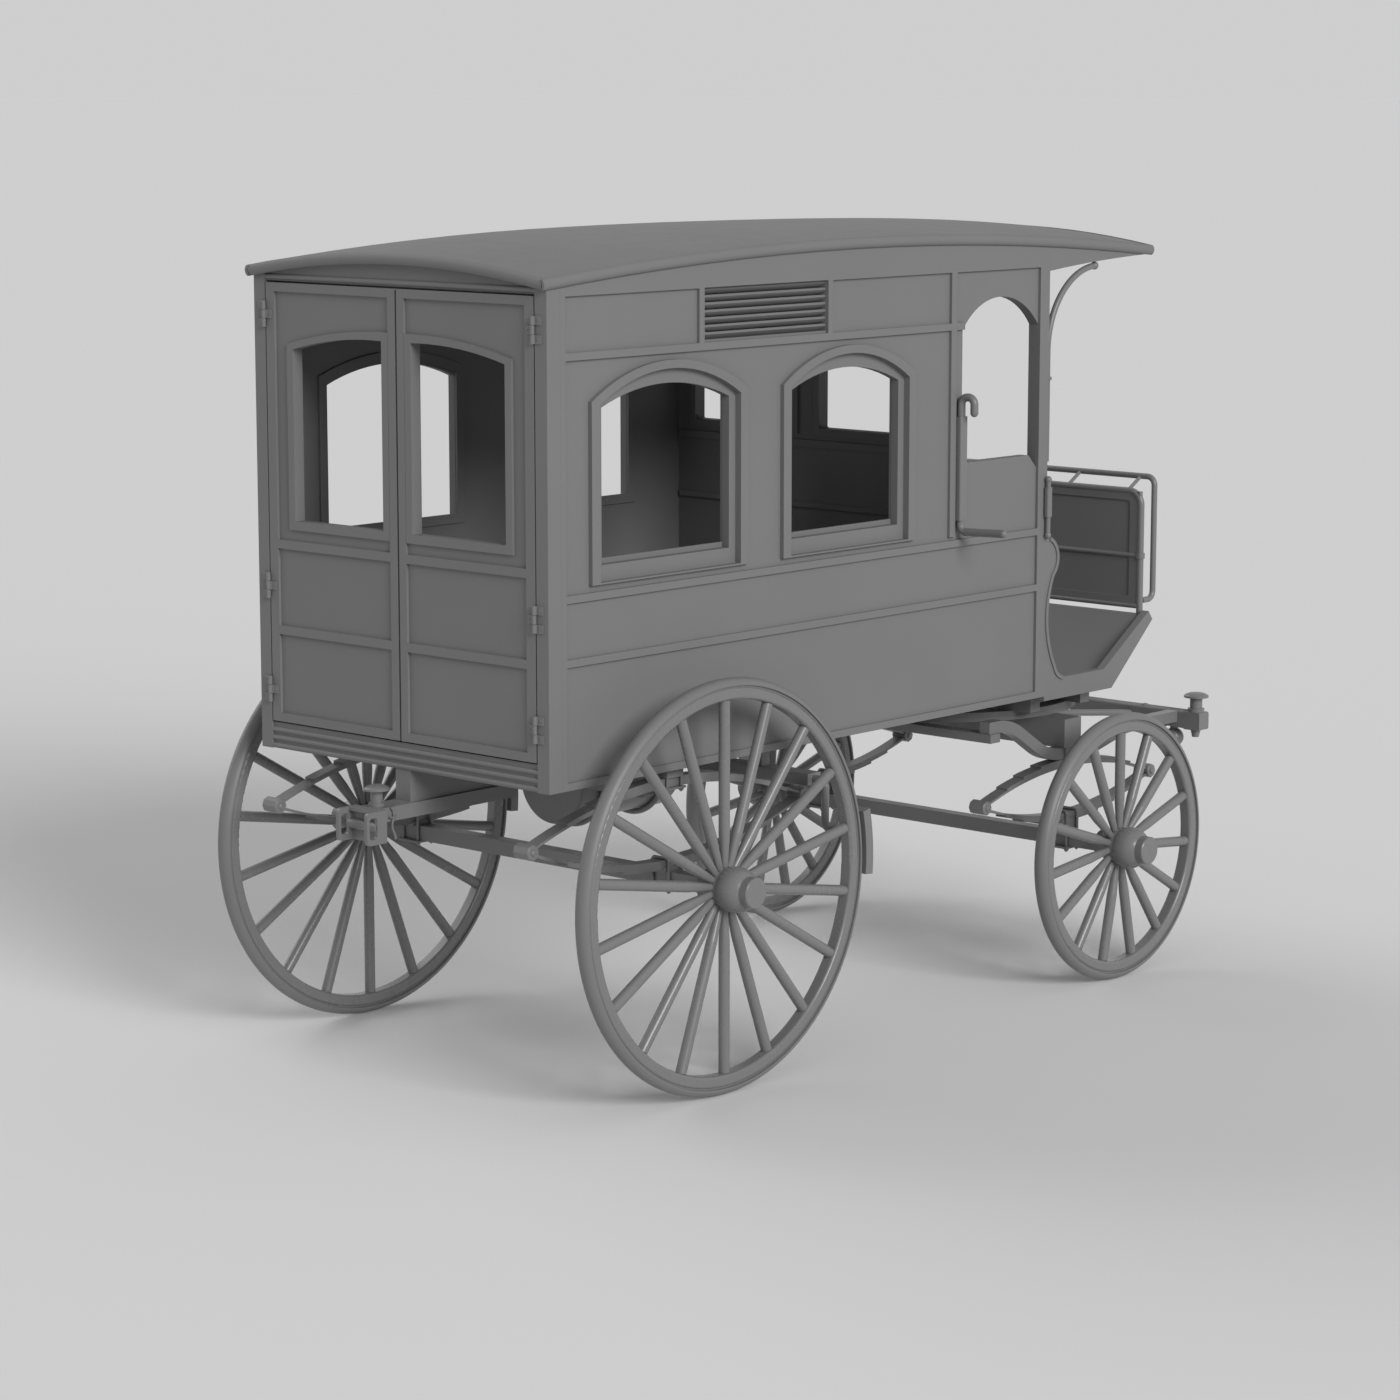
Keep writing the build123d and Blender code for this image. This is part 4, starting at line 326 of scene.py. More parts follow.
class Shape:
    """A mesh in the making, in metres, in the carriage's own frame."""

    def __init__(self) -> None:
        """Start with an empty mesh."""
        self.mesh = bmesh.new()

    def _ring(self, points: Sequence[Vector]) -> list[bmesh.types.BMEdge]:
        """Add a closed ring of edges through the points."""
        verts = [self.mesh.verts.new(point) for point in points]
        return [self.mesh.edges.new(pair) for pair in zip(verts, verts[1:] + verts[:1])]

    def sweep(
        self, path: Sequence[Vector], outline: Sequence[Pair], normal: Vector, closed: bool = False
    ) -> None:
        """Sweep an outline along a flat path.

        Args:
            path: The points of the path.
            outline: The outline, first across the path and then along the normal.
            normal: The normal of the path's plane.
            closed: Whether the path joins up.
        """
        points = [Vector(point) for point in path]
        last = len(points) - 1
        loops = []
        for k, point in enumerate(points):
            following = points[(k + 1) % (last + 1)]
            run_in = (point - points[k - 1]).normalized() if closed or k > 0 else None
            run_out = (following - point).normalized() if closed or k < last else None
            run_in = run_in or run_out
            run_out = run_out or run_in
            along = (run_in + run_out).normalized()
            across = normal.cross(along) / max(SLIMMEST_MITRE, along.dot(run_out))
            loops.append(self._ring([point + across * u + normal * v for u, v in outline]))
        pairs = list(zip(loops, loops[1:]))
        if closed:
            pairs.append((loops[-1], loops[0]))
        for first, second in pairs:
            bmesh.ops.bridge_loops(self.mesh, edges=first + second)
        if not closed:
            bmesh.ops.edgeloop_fill(self.mesh, edges=loops[0])
            bmesh.ops.edgeloop_fill(self.mesh, edges=loops[-1])

    def rod(self, start: Point, end: Point, radius: float, sides: int = 16) -> None:
        """Add a straight round bar.

        Args:
            start: Middle of one end.
            end: Middle of the other.
            radius: Its radius.
            sides: How many flats it has.
        """
        first, last = Vector(start), Vector(end)
        run = last - first
        turn = run.to_track_quat("Z", "Y").to_matrix().to_4x4()
        bmesh.ops.create_cone(
            self.mesh,
            cap_ends=True,
            segments=sides,
            radius1=radius,
            radius2=radius,
            depth=run.length,
            matrix=Matrix.Translation((first + last) / 2) @ turn,
        )

    def turned(self, base: Point, axis: Vector, profile: Sequence[Pair], sides: int = 20) -> None:
        """Turn a profile of radius and height pairs about an axis through a base point.

        Args:
            base: The point that heights are counted from.
            axis: The direction that they run in.
            profile: Radius and height of each step of the outline.
            sides: How many flats it has.
        """
        start = Vector(base)
        side = axis.orthogonal().normalized()
        line = [(0.0, profile[0][1]), *profile]
        if profile[-1][0] > TINY:
            line.append((0.0, profile[-1][1]))
        before = set(self.mesh.verts)
        verts = [self.mesh.verts.new(start + axis * height + side * radius) for radius, height in line]
        edges = [self.mesh.edges.new(pair) for pair in zip(verts, verts[1:])]
        bmesh.ops.spin(
            self.mesh,
            geom=verts + edges,
            cent=start,
            axis=axis,
            angle=2 * math.pi,
            steps=sides,
            use_merge=True,
        )
        made = [vert for vert in self.mesh.verts if vert not in before]
        bmesh.ops.remove_doubles(self.mesh, verts=made, dist=TINY)

    def block(self, centre: Point, size: Point) -> None:
        """Add a block."""
        matrix = Matrix.Translation(Vector(centre)) @ Matrix.Diagonal((*size, 1.0))
        bmesh.ops.create_cube(self.mesh, size=1.0, matrix=matrix)

    def dome(self, base: Point, axis: Vector, radius: float, height: float) -> None:
        """Add a round bolt head: a short straight edge under a rounded top.

        Args:
            base: Middle of its foot.
            axis: The way it points.
            radius: Its radius.
            height: Its height.
        """
        straight = 0.2
        steps = 5
        profile = [(radius, 0.0), (radius, straight * height)]
        for step in range(1, steps + 1):
            turn = math.pi / 2 * step / steps
            rise = straight + (1 - straight) * math.sin(turn)
            profile.append((radius * math.cos(turn), height * rise))
        self.turned(base, axis, profile)

    def nut(self, base: Point, axis: Vector, radius: float, height: float) -> None:
        """Add a hexagonal nut on a washer, with the bolt's end through it.

        Args:
            base: Middle of the washer's foot.
            axis: The way it points.
            radius: From its middle to its corners.
            height: Height of the nut with its washer.
        """
        washer_r, washer_top = 1.2 * radius, 0.2 * height
        flat_r, flat_z = 0.86 * radius, 0.9 * height
        stem_r, stem_z, tip_r, tip_z = 0.5 * radius, 1.35 * height, 0.38 * radius, 1.5 * height
        self.turned(base, axis, [(washer_r, 0.0), (washer_r, washer_top)])
        self.turned(base, axis, [(radius, washer_top), (radius, flat_z), (flat_r, height)], sides=6)
        self.turned(base, axis, [(stem_r, height), (stem_r, stem_z), (tip_r, tip_z)])

    def screw(self, base: Point, axis: Vector, radius: float) -> None:
        """Add a domed screw head with a slot.

        Args:
            base: Middle of its foot.
            axis: The way it points.
            radius: Its radius.
        """
        height = 0.45 * radius
        self.dome(base, axis, radius, height)
        across = axis.orthogonal().normalized()
        slot = Vector(base) + axis * height
        reach, half = 0.8 * radius, 0.1 * radius
        low, top = -0.1 * height, 0.05 * height
        outline = [(-half, low), (half, low), (half, top), (-half, top)]
        self.sweep([slot - across * reach, slot + across * reach], outline, axis)

    def _settle(self) -> None:
        """Put the faces in the order of their points, because spin makes them in any order."""
        self.mesh.verts.index_update()
        order = sorted(self.mesh.faces, key=lambda face: [vert.index for vert in face.verts])
        ranks = {face: rank for rank, face in enumerate(order)}
        self.mesh.faces.sort(key=ranks.get)

    def finish(self, name: str, body: str, finish: Finish, paints: Paintwork) -> bpy.types.Object:
        """Make the object, paint it and let it ride on its body.

        Args:
            name: The piece's name.
            body: The body that it rides on.
            finish: Its finish.
            paints: Where the paints come from.

        Returns:
            The object.
        """
        bmesh.ops.recalc_face_normals(self.mesh, faces=self.mesh.faces)
        self._settle()
        data = bpy.data.meshes.new(name)
        self.mesh.to_mesh(data)
        self.mesh.free()
        grain = Grain.ALONG if finish is WOOD_PAINT else Grain.NONE
        data.materials.append(paints.material(finish, grain))
        data.shade_smooth()
        data.set_sharp_from_angle(angle=SHARP)
        piece = bpy.data.objects.new(name, data)
        bpy.context.scene.collection.objects.link(piece)
        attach(piece, body)
        return piece


@dataclass(frozen=True)
class Extent:
    """A node's box at rest.

    Args:
        low: Its corner with the lowest values.
        high: Its corner with the highest.
    """

    low: Vector
    high: Vector

    @classmethod
    def of(cls, node: str) -> "Extent":
        """Read a node's box from the frame."""
        low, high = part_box(node)
        return cls(Vector(low), Vector(high))

    @property
    def middle(self) -> Vector:
        """The box's middle."""
        return (self.low + self.high) / 2


@dataclass(frozen=True)
class SpringSet:
    """The clips, plates, eye blocks and eye bolts of one pair of elliptic springs.

    Args:
        name: The start of the pieces' names.
        axle: The axle's node.
        springs: The springs' node.
        body: The body that carries them.
        rise: Height from the leaves' lowest point to the eyes.
        lift: Height from the upper leaves to what the plates' bolts reach.
        pack: Thickness of one pack of leaves.
        bed_half: Half the axle bed's width.
        seat_half: Half the leaves' width, with their seat.
        clip_r: Radius of the clips' bar.
        clip_slack: Gap between a clip and the leaves' sides.
        clip_bend: Radius of the clips' corners.
        eye_r: From a spring's end to the middle of its eye.
        block_r: From an eye to the corners of its block.
        block_half: Half the block's length.
        block_cut: Size of its chamfers.
        nut: Radius and height of the nuts.
        head: Radius and height of the eye bolts' heads.
        lower_plate: Length, width and thickness of the plate under the axle bed.
        upper_plate: The same under the upper leaves.
        bolt_at: Distance of the upper plate's bolts from its middle, along and across.
        bolt_r: Radius of these bolts.
    """

    name: str
    axle: str
    springs: str
    body: str
    rise: float
    lift: float
    pack: float = 28.0 * MM
    bed_half: float = 23.0 * MM
    seat_half: float = 26.5 * MM
    clip_r: float = 5.0 * MM
    clip_slack: float = 0.4 * MM
    clip_bend: float = 11.0 * MM
    eye_r: float = 19.0 * MM
    block_r: float = 23.5 * MM
    block_half: float = 30.0 * MM
    block_cut: float = 2.5 * MM
    nut: Pair = (8.0 * MM, 7.0 * MM)
    head: Pair = (10.0 * MM, 6.0 * MM)
    lower_plate: Point = (82.0 * MM, 84.0 * MM, 7.0 * MM)
    upper_plate: Point = (84.0 * MM, 74.0 * MM, 6.0 * MM)
    bolt_at: Pair = (30.0 * MM, 28.0 * MM)
    bolt_r: float = 4.5 * MM

    def build(self, paints: Paintwork) -> list[bpy.types.Object]:
        """Make the pieces of both springs.

        Args:
            paints: Where the paints come from.

        Returns:
            The pieces.
        """
        axle = Extent.of(self.axle).middle
        box = Extent.of(self.springs)
        spring_y = box.high.y - self.seat_half
        eye_z = box.high.z - self.rise
        clips, plates, blocks = Shape(), Shape(), Shape()
        for y in (-spring_y, spring_y):
            self._seat_on_axle(clips, axle, y, box.high.z - 2 * self.rise + self.pack)
            self._plate_under_leaves(plates, axle.x, y, box.high.z)
            for eye_x in (box.low.x + self.eye_r, box.high.x - self.eye_r):
                self._eye_block(blocks, (eye_x, y, eye_z))
        return [
            clips.finish(f"{self.name}_axle_clips", self.body, IRON_PAINT, paints),
            plates.finish(f"{self.name}_spring_plates", self.body, IRON_PAINT, paints),
            blocks.finish(f"{self.name}_eye_blocks", self.body, IRON_PAINT, paints),
        ]

    def _eye_block(self, shape: Shape, eye: Point) -> None:
        """Add the eight-sided block round an eye, with a bolt head at each end.

        Args:
            shape: The mesh that it joins.
            eye: Middle of the eye.
        """
        x, y, z = eye
        length, inner_r = 2 * self.block_half, self.block_r - self.block_cut
        profile = [
            (inner_r, 0.0), (self.block_r, self.block_cut),
            (self.block_r, length - self.block_cut), (inner_r, length),
        ]
        shape.turned((x, y - self.block_half, z), Y_AXIS, profile, sides=8)
        for over in (-1, 1):
            shape.dome((x, y + over * self.block_half, z), over * Y_AXIS, *self.head)

    def _seat_on_axle(self, shape: Shape, axle: Vector, y: float, leaves_top: float) -> None:
        """Add two clips over the lower leaves, down past the axle bed to nuts under a plate.

        Args:
            shape: The mesh that they join.
            axle: Middle of the axle.
            y: Middle of the spring.
            leaves_top: Top of the lower leaves.
        """
        half = self.seat_half + self.clip_r + self.clip_slack
        top = leaves_top + self.clip_r + FIT
        plate_z = axle.z - self.bed_half - FIT
        foot = plate_z - self.lower_plate[2]
        shape.block((axle.x, y, (plate_z + foot) / 2), self.lower_plate)
        for step in (-1, 1):
            x = axle.x + step * (self.bed_half + self.clip_r + FIT)
            corners = [(x, y - half, foot), (x, y - half, top), (x, y + half, top), (x, y + half, foot)]
            shape.sweep(rounded(corners, self.clip_bend), circle(self.clip_r, sides=12), X_AXIS)
            for over in (-1, 1):
                shape.nut((x, y + over * half, foot), -Z_AXIS, *self.nut)

    def _plate_under_leaves(self, shape: Shape, x: float, y: float, leaves_top: float) -> None:
        """Add a plate under the upper leaves, with four bolts up to what lies on them.

        Args:
            shape: The mesh that it joins.
            x: Middle of the axle.
            y: Middle of the spring.
            leaves_top: Top of the upper leaves.
        """
        under = leaves_top - self.pack - FIT
        thick = self.upper_plate[2]
        shape.block((x, y, under - thick / 2), self.upper_plate)
        for step in (-1, 1):
            for over in (-1, 1):
                bolt_x, bolt_y = x + step * self.bolt_at[0], y + over * self.bolt_at[1]
                shape.nut((bolt_x, bolt_y, under - thick), -Z_AXIS, *self.nut)
                bolt_top = leaves_top + self.lift - FIT
                shape.rod((bolt_x, bolt_y, under), (bolt_x, bolt_y, bolt_top), self.bolt_r)


@dataclass(frozen=True)
class HingeScrews:
    """The screws of the rear doors' hinges.

    Args:
        heights: Heights of the hinges.
        knuckle: From a hinge's middle to the screws on the post.
        plate_t: How far the hinges' plates stand out behind the frame.
        post_y: Distance of the screws on the posts from the carriage's middle.
        door_y: The same on the doors.
        pitch: From the middle of a door's plate to its screws.
        radius: Radius of the screws' heads.
    """

    heights: tuple[float, ...] = (1.120, 1.430, 2.230)
    knuckle: float = 26.0 * MM
    plate_t: float = 3.0 * MM
    post_y: float = 563.7 * MM
    door_y: float = 532.0 * MM
    pitch: float = 7.0 * MM
    radius: float = 3.4 * MM

    def build(self, paints: Paintwork) -> list[bpy.types.Object]:
        """Make the screws on the posts and on each door.

        Args:
            paints: Where the paints come from.

        Returns:
            The pieces.
        """
        face = Extent.of("rear_frame").low.x - self.plate_t
        posts = Shape()
        for side in (-1, 1):
            for z in self.heights:
                for step in (-1, 1):
                    posts.screw((face, side * self.post_y, z + step * self.knuckle), -X_AXIS, self.radius)
        pieces = [posts.finish("hinge_screws_posts", BODY, IRON_PAINT, paints)]
        for name, side in (("right", -1), ("left", 1)):
            leaf = Shape()
            for z in self.heights:
                for step in (-1, 1):
                    leaf.screw((face, side * self.door_y + step * self.pitch, z), -X_AXIS, self.radius)
            pieces.append(leaf.finish(f"hinge_screws_{name}", LEAF_BODIES[name], IRON_PAINT, paints))
        return pieces


@dataclass(frozen=True)
class Architrave:
    """Mouldings inside the cabin round the windows, as distances from the body's rear face.

    Args:
        windows: Rear and front side of each window's outer moulding.
        sill_z: Foot of the outer mouldings.
        spring_z: Where the arches start.
        apex_z: Top of the arches.
        inset: From the outer moulding's edge to the middle of the inner one.
        sill_lift: How much further in than that its foot lies.
        width: Width of the inner moulding.
        proud: How far it stands off the wall.
        cut: Size of its chamfers.
        arch_steps: How many chords an arch gets.
        bulkhead_frame: Near and far sides, foot and top of the frames on the bulkhead.
        bulkhead_share: Their width, as a share of the inner mouldings' width.
        bulkhead_rails: Height and width of the sill and of the rail on the bulkhead.
        rail_slack: How much shorter these are than the room between the wall's mouldings.
    """

    windows: tuple[Pair, ...] = ((0.165, 0.828), (0.984, 1.606))
    sill_z: float = 1.511
    spring_z: float = 2.024
    apex_z: float = 2.124
    inset: float = 46.0 * MM
    sill_lift: float = 5.0 * MM
    width: float = 30.0 * MM
    proud: float = 8.0 * MM
    cut: float = 2.0 * MM
    arch_steps: int = 18
    bulkhead_frame: tuple[float, float, float, float] = (0.044, 0.482, 1.796, 2.104)
    bulkhead_share: float = 0.8
    bulkhead_rails: tuple[Pair, ...] = ((1.757, 24.0 * MM), (1.560, 18.0 * MM))
    rail_slack: float = 1.0 * MM

    def build(self, paints: Paintwork) -> list[bpy.types.Object]:
        """Make the mouldings of both side walls and of the bulkhead.

        Args:
            paints: Where the paints come from.

        Returns:
            The pieces.
        """
        rear = Extent.of("rear_frame").low.x + FRAME_PROUD
        inner = Extent.of("bulkhead").high.y
        shape = Shape()
        profile = self._profile()
        for side in (-1, 1):
            wall_y = side * (inner - self.proud / 2)
            for left, right in self.windows:
                path = [Vector((rear + x, wall_y, z)) for x, z in self._arch(left, right)]
                shape.sweep(path, profile, Y_AXIS, closed=True)
        self._bulkhead(shape)
        return [shape.finish("cabin_mouldings", BODY, WOOD_PAINT, paints)]

    def _profile(self) -> list[Pair]:
        """Outline of the moulding, with small chamfers."""
        half, thick, cut = self.width / 2, self.proud / 2, self.cut
        return [
            (-half, -thick), (-half + cut, -thick), (half - cut, -thick), (half, -thick),
            (half, thick), (half - cut, thick), (-half + cut, thick), (-half, thick),
        ]

    def _arch(self, left: float, right: float) -> list[Pair]:
        """Points of the inner moulding's middle line: sill, jambs and a flat arch.

        Args:
            left: Rear side of the outer moulding.
            right: Its front side.

        Returns:
            The points, as distance from the body's rear face and height.
        """
        left, right = left + self.inset, right - self.inset
        low = self.sill_z + self.inset + self.sill_lift
        spring, apex = self.spring_z, self.apex_z - self.inset
        half, rise = (right - left) / 2, apex - spring
        radius = (half * half + rise * rise) / (2 * rise)
        reach = math.asin(half / radius)
        middle = (left + right) / 2
        points = [(left, low), (right, low)]
        for step in range(self.arch_steps + 1):
            turn = reach * (1 - 2 * step / self.arch_steps)
            points.append((middle + radius * math.sin(turn), apex - radius + radius * math.cos(turn)))
        return points

    def _bulkhead(self, shape: Shape) -> None:
        """Add the frames, sill and rail on the bulkhead's faces.

        Args:
            shape: The mesh that they join.
        """
        box = Extent.of("bulkhead")
        near, far, low, top = self.bulkhead_frame
        narrow = [(u * self.bulkhead_share, v) for u, v in self._profile()]
        width = 2 * (box.high.y - self.proud) - self.rail_slack
        for face, way in ((box.low.x, -1), (box.high.x, 1)):
            x = face + way * self.proud / 2
            for side in (-1, 1):
                corners = [(near, low), (far, low), (far, top), (near, top)]
                path = [Vector((x, side * y, z)) for y, z in corners]
                shape.sweep(path, narrow, X_AXIS, closed=True)
            for z, height in self.bulkhead_rails:
                shape.block((x, 0.0, z), (self.proud, width, height))


@dataclass(frozen=True)
class DoorLining:
    """Mouldings on the inner face of each rear door: round the window and round the panel below.

    Args:
        near: Distance of the window moulding's middle line from the carriage's middle.
        far: The same at the hinges.
        low: Its foot.
        near_top: Its top at the middle.
        far_top: Its top at the hinges.
        rise: How far the top bows over the line between the two.
        panel: Near and far sides, foot and top of the lower moulding's middle line.
        width: Width of the mouldings.
        proud: How far they stand off the door.
        cut: Size of their chamfers.
        steps: How many chords the bowed top gets.
    """

    near: float = 0.044
    far: float = 0.449
    low: float = 1.611
    near_top: float = 2.187
    far_top: float = 2.146
    rise: float = 0.014
    panel: tuple[float, float, float, float] = (0.050, 0.490, 1.080, 1.560)
    width: float = 22.0 * MM
    proud: float = 6.0 * MM
    cut: float = 1.6 * MM
    steps: int = 12

    def build(self, paints: Paintwork) -> list[bpy.types.Object]:
        """Make the mouldings of both doors.

        Args:
            paints: Where the paints come from.

        Returns:
            The pieces.
        """
        half, thick, cut = self.width / 2, self.proud / 2, self.cut
        profile = [(-half, -thick), (half, -thick), (half, thick - cut), (half - cut, thick)]
        profile += [(cut - half, thick), (-half, thick - cut)]
        pieces = []
        for name, side in (("right", -1), ("left", 1)):
            x = Extent.of(f"rear_door_{name}").high.x + thick
            shape = Shape()
            for corners in (self._window(), self._panel()):
                path = [Vector((x, side * y, z)) for y, z in corners]
                shape.sweep(path, profile, X_AXIS, closed=True)
            pieces.append(shape.finish(f"door_lining_{name}", LEAF_BODIES[name], WOOD_PAINT, paints))
        return pieces

    def _window(self) -> list[Pair]:
        """Points round the window: foot, sides and the bowed top.

        Returns:
            The points, as distance from the carriage's middle and height.
        """
        points = [(self.near, self.low), (self.far, self.low)]
        for step in range(self.steps + 1):
            share = step / self.steps
            bow = 4 * self.rise * share * (1 - share)
            top = self.far_top + (self.near_top - self.far_top) * share + bow
            points.append((self.far + (self.near - self.far) * share, top))
        return points

    def _panel(self) -> list[Pair]:
        """Corners of the lower moulding."""
        near, far, low, top = self.panel
        return [(near, low), (far, low), (far, top), (near, top)]


@dataclass(frozen=True)
class DrawGear:
    """Bolts on the splinter bar and the pin on the tow beam.

    Args:
        bolt_y: Distance of the splinter bar's bolts from the carriage's middle.
        nut_y: The same of the nuts under its stays.
        head: Radius and height of the bolts' heads.
        nut: Radius and height of the nuts.
        drop: Depth of the bar at its middle.
        drop_gain: How much deeper the bar is at its end.
        drop_reach: Distance of that end from the carriage's middle.
        pin_back: From the body's rear face to the pin.
        pin_length: The pin's length.
        pin_r: The pin's radius.
        pin_under: From the tow head's top down to the pin's.
        pin_head: Radius and height of the pin's head.
        head_sink: How far the head reaches down over the pin.
        sway: How far the pin waves and how far it leans.
        waves: Half waves in its length.
        steps: How many chords the pin gets.
        staple: Distances from the pin to the staple's rear and front legs.
        staple_share: How far down the pin the staple sits, as a share of its length.
        staple_out: From the pin to the middle of the staple's bar.
        staple_bend: Radius of the staple's corners.
        staple_r: Radius of the staple's bar.
    """

    bolt_y: float = 0.390
    nut_y: float = 0.470
    head: Pair = (13.0 * MM, 7.0 * MM)
    nut: Pair = (11.0 * MM, 9.0 * MM)
    drop: float = 42.0 * MM
    drop_gain: float = 15.0 * MM
    drop_reach: float = 0.567
    pin_back: float = 88.0 * MM
    pin_length: float = 92.0 * MM
    pin_r: float = 3.4 * MM
    pin_under: float = 3.0 * MM
    pin_head: Pair = (6.0 * MM, 5.0 * MM)
    head_sink: float = 1.0 * MM
    sway: Pair = (5.0 * MM, 10.0 * MM)
    waves: float = 2.6
    steps: int = 24
    staple: Pair = (9.0 * MM, 15.0 * MM)
    staple_share: float = 0.28
    staple_out: float = 6.0 * MM
    staple_bend: float = 4.0 * MM
    staple_r: float = 2.4 * MM

    def build(self, paints: Paintwork) -> list[bpy.types.Object]:
        """Make the bolts and the pin.

        Args:
            paints: Where the paints come from.

        Returns:
            The pieces.
        """
        bar = Extent.of("splinter_bar")
        bolts = Shape()
        for side in (-1, 1):
            bolts.dome((bar.middle.x, side * self.bolt_y, bar.high.z), Z_AXIS, *self.head)
            for y in (self.bolt_y, self.nut_y):
                under = bar.high.z - self.drop - self.drop_gain * y / self.drop_reach
                bolts.nut((bar.middle.x, side * y, under), -Z_AXIS, *self.nut)
        return [bolts.finish("splinter_bolts", FORE, IRON_PAINT, paints), self._pin(paints)]

    def _pin(self, paints: Paintwork) -> bpy.types.Object:
        """Hang a thin wavy pin from a staple on the side of the tow beam.

        Args:
            paints: Where the paints come from.

        Returns:
            The pin with its staple.
        """
        beam = Extent.of("tow_beam")
        x = Extent.of("rear_frame").low.x + FRAME_PROUD - self.pin_back
        y = beam.low.y - self.pin_r - FIT
        top = Extent.of("tow_head").high.z - self.pin_under
        wave, lean = self.sway
        path = []
        for step in range(self.steps + 1):
            share = step / self.steps
            sway = wave * math.sin(share * self.waves * math.pi) + lean * share
            path.append(Vector((x + sway, y, top - self.pin_length * share)))
        pin = Shape()
        pin.sweep(path, circle(self.pin_r, sides=10), Y_AXIS)
        pin.dome((x, y, top - self.head_sink), Z_AXIS, *self.pin_head)
        z = top - self.staple_share * self.pin_length
        out = y - self.staple_out
        rear, front = x - self.staple[0], x + self.staple[1]
        corners = [(rear, beam.low.y, z), (rear, out, z), (front, out, z), (front, beam.low.y, z)]
        bar = rounded(corners, self.staple_bend, steps=4)
        pin.sweep(bar, circle(self.staple_r, sides=8), Z_AXIS)
        return pin.finish("tow_pin", BODY, IRON_PAINT, paints)


@dataclass(frozen=True)
class Lens:
    """The camera that the view was fitted with.

    Args:
        place: Where it stands, in metres.
        heading: Where it looks, in degrees from straight ahead towards the left.
        pitch: How far it looks down, in degrees.
        focal: Its focal length in millimetres.
        sensor: Width of its sensor in millimetres.
    """

    place: Point = (-9.0132, -7.8802, 2.9202)
    heading: float = 41.807
    pitch: float = 9.288
    focal: float = 98.40
    sensor: float = 36.0


def add_camera(lens: Lens) -> None:
    """Place the camera of the reference view.

    Args:
        lens: The camera's place, direction and lens.
    """
    data = bpy.data.cameras.new("camera")
    data.lens = lens.focal
    data.sensor_width = lens.sensor
    camera = bpy.data.objects.new("camera", data)
    camera.location = lens.place
    camera.rotation_euler = (
        math.radians(90.0 - lens.pitch),
        0.0,
        math.radians(lens.heading - 90.0),
    )
    bpy.context.scene.collection.objects.link(camera)
    bpy.context.scene.camera = camera


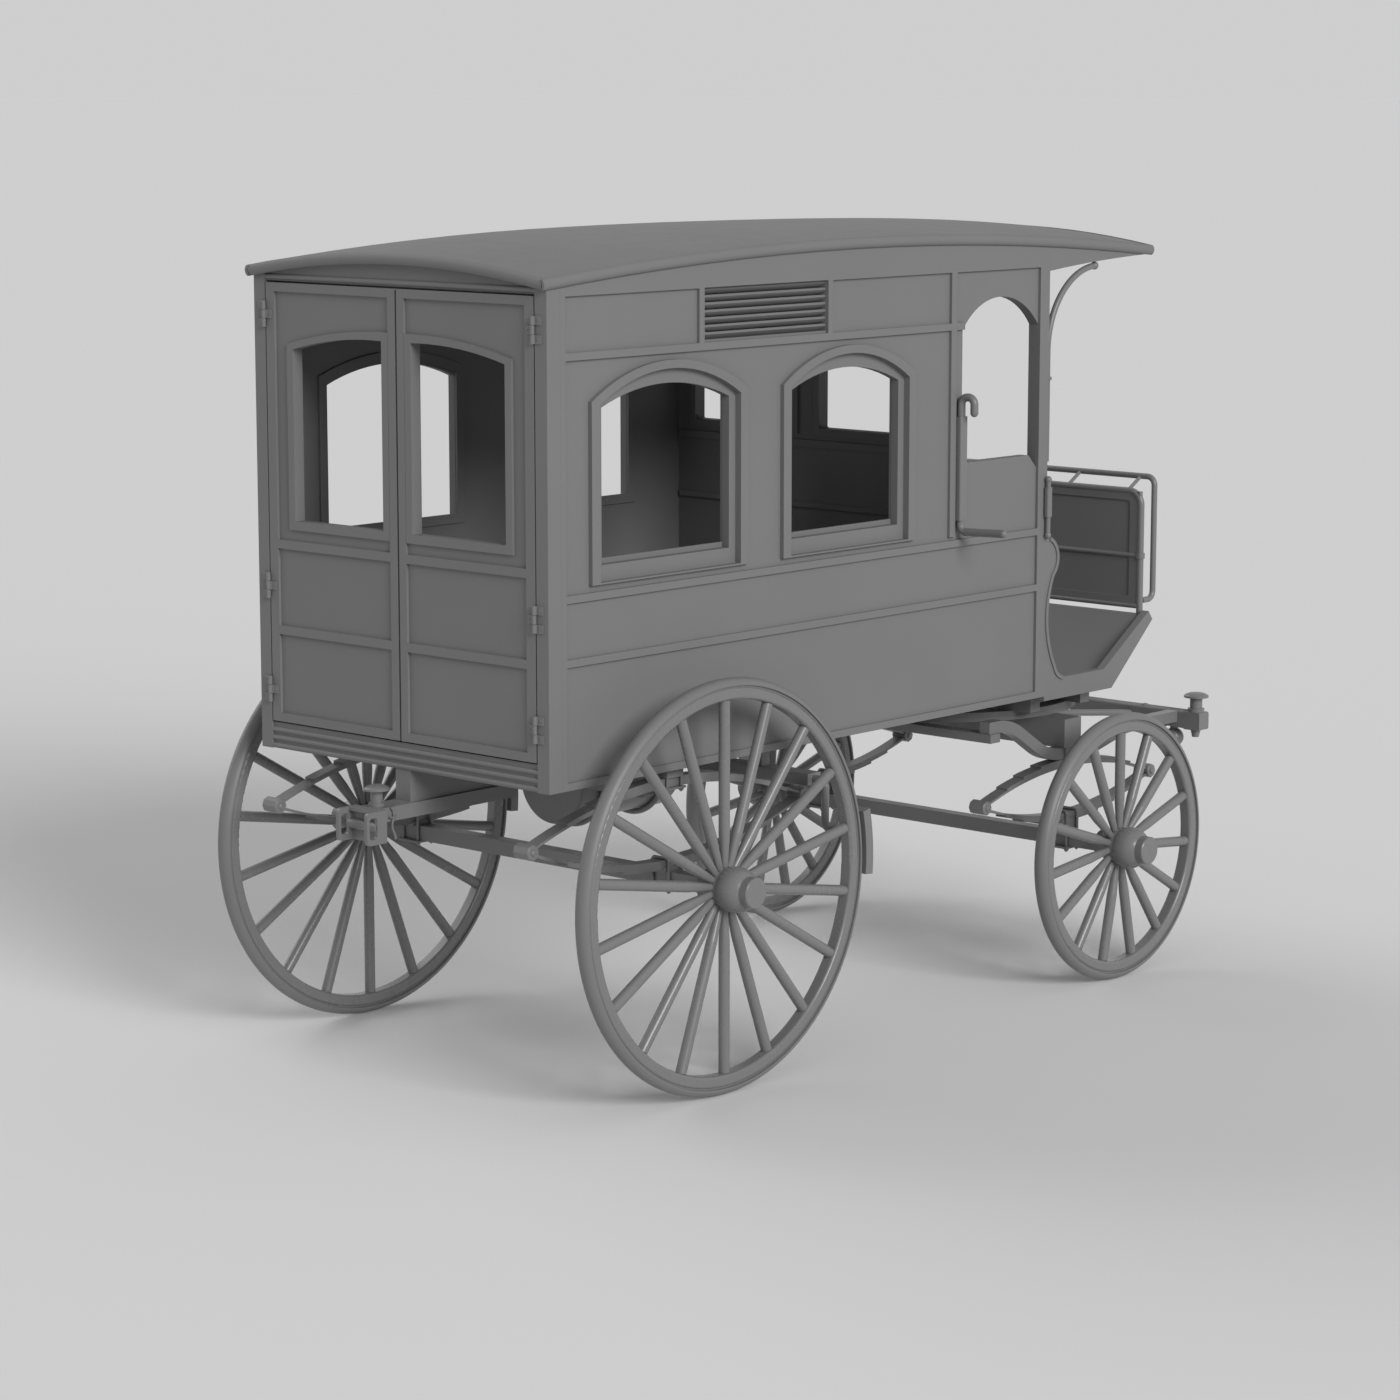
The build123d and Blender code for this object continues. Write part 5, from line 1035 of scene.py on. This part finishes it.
@dataclass(frozen=True)
class Studio:
    """A plain pale studio: even surroundings, a floor and two wide soft lamps.

    Args:
        backdrop: Grey that the camera sees behind the object, and the lit floor's.
        floor: The floor's own grey, which the light brings to the backdrop's.
        surround: Strength of the light that comes from all round.
        floor_half: Half the floor's width in metres.
    """

    backdrop: float = 0.62
    floor: float = 0.785
    surround: float = 0.34
    floor_half: float = 400.0

    def build(self) -> None:
        """Make the floor, the world and the lamps."""
        self._lay_floor()
        self._light_world()
        for lamp in LAMPS:
            lamp.hang()

    def _lay_floor(self) -> None:
        """Lay the pale floor."""
        half = self.floor_half
        mesh = bpy.data.meshes.new("studio_floor")
        corners = [(-half, -half, 0.0), (half, -half, 0.0), (half, half, 0.0), (-half, half, 0.0)]
        mesh.from_pydata(corners, [], [(0, 1, 2, 3)])
        floor = bpy.data.objects.new("studio_floor", mesh)
        bpy.context.scene.collection.objects.link(floor)
        material = bpy.data.materials.new("studio_floor")
        nodes = NodeTree(material)
        shader = nodes.add("ShaderNodeBsdfDiffuse")
        shader.inputs["Color"].default_value = (self.floor, self.floor, self.floor, 1.0)
        output = nodes.add("ShaderNodeOutputMaterial")
        nodes.link(shader.outputs["BSDF"], output.inputs["Surface"])
        mesh.materials.append(material)

    def _light_world(self) -> None:
        """Light evenly from all round, and show the backdrop's grey to the camera and in gleams."""
        world = bpy.data.worlds.new("studio")
        bpy.context.scene.world = world
        nodes = NodeTree(world)
        path = nodes.add("ShaderNodeLightPath")
        light = nodes.add("ShaderNodeBackground", Strength=self.surround)
        light.inputs["Color"].default_value = (1.0, 1.0, 1.0, 1.0)
        seen = nodes.add("ShaderNodeBackground", Strength=1.0)
        seen.inputs["Color"].default_value = (self.backdrop, self.backdrop, self.backdrop, 1.0)
        glossy = nodes.add("ShaderNodeMath", operation="MAXIMUM")
        either = nodes.add("ShaderNodeMath", operation="MAXIMUM")
        nodes.link(path.outputs["Is Glossy Ray"], glossy.inputs[0])
        nodes.link(path.outputs["Is Transmission Ray"], glossy.inputs[1])
        nodes.link(path.outputs["Is Camera Ray"], either.inputs[0])
        nodes.link(glossy.outputs[0], either.inputs[1])
        mix = nodes.add("ShaderNodeMixShader")
        output = nodes.add("ShaderNodeOutputWorld")
        nodes.link(either.outputs[0], mix.inputs[0])
        nodes.link(light.outputs[0], mix.inputs[1])
        nodes.link(seen.outputs[0], mix.inputs[2])
        nodes.link(mix.outputs[0], output.inputs["Surface"])


@dataclass(frozen=True)
class SoftLamp:
    """A wide, distant lamp.

    Args:
        name: The lamp's name.
        azimuth: Where it stands, in degrees from straight ahead towards the left.
        height: Its height above the horizon, in degrees.
        spread: How wide it looks from the object, in degrees.
        strength: Its strength in watts per square metre.
        away: How far off it hangs, in metres, which doesn't change its light.
    """

    name: str
    azimuth: float
    height: float
    spread: float
    strength: float
    away: float = 12.0

    def hang(self) -> None:
        """Make the lamp and turn it to face the object."""
        data = bpy.data.lights.new(self.name, "SUN")
        data.angle = math.radians(self.spread)
        data.energy = self.strength
        lamp = bpy.data.objects.new(self.name, data)
        turn, rise = math.radians(self.azimuth), math.radians(self.height)
        place = Vector((math.cos(turn) * math.cos(rise), math.sin(turn) * math.cos(rise), math.sin(rise)))
        lamp.location = self.away * place
        lamp.rotation_euler = place.to_track_quat("Z", "Y").to_euler()
        bpy.context.scene.collection.objects.link(lamp)


# The key lamp stands on the carriage's right, a little to its rear, and the fill lamp on its left.
LAMPS = (
    SoftLamp("key", -104.0, 25.0, 26.0, 2.20),
    SoftLamp("fill", 95.0, 31.0, 50.0, 0.95),
)

# The sub-assemblies, in the order that they are built in.
TRIM = (
    SpringSet("rear", "rear_axle", "rear_springs", BODY, 135.0 * MM, 0.0),
    SpringSet("front", "front_axle", "front_springs", FORE, 104.0 * MM, 38.0 * MM),
    HingeScrews(),
    Architrave(),
    DoorLining(),
    DrawGear(),
)


def main() -> None:
    """Build the looks over the loaded frame."""
    logging.basicConfig(level=logging.INFO, format="%(name)s: %(message)s")
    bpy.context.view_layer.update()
    paints = Paintwork()
    add_camera(Lens())
    paint_nodes(paints)
    for part in TRIM:
        for piece in part.build(paints):
            LOG.info("%s: %d faces", piece.name, len(piece.data.polygons))
    Studio().build()
    bpy.context.scene.view_settings.view_transform = "Standard"


if __name__ == "__main__":
    main()
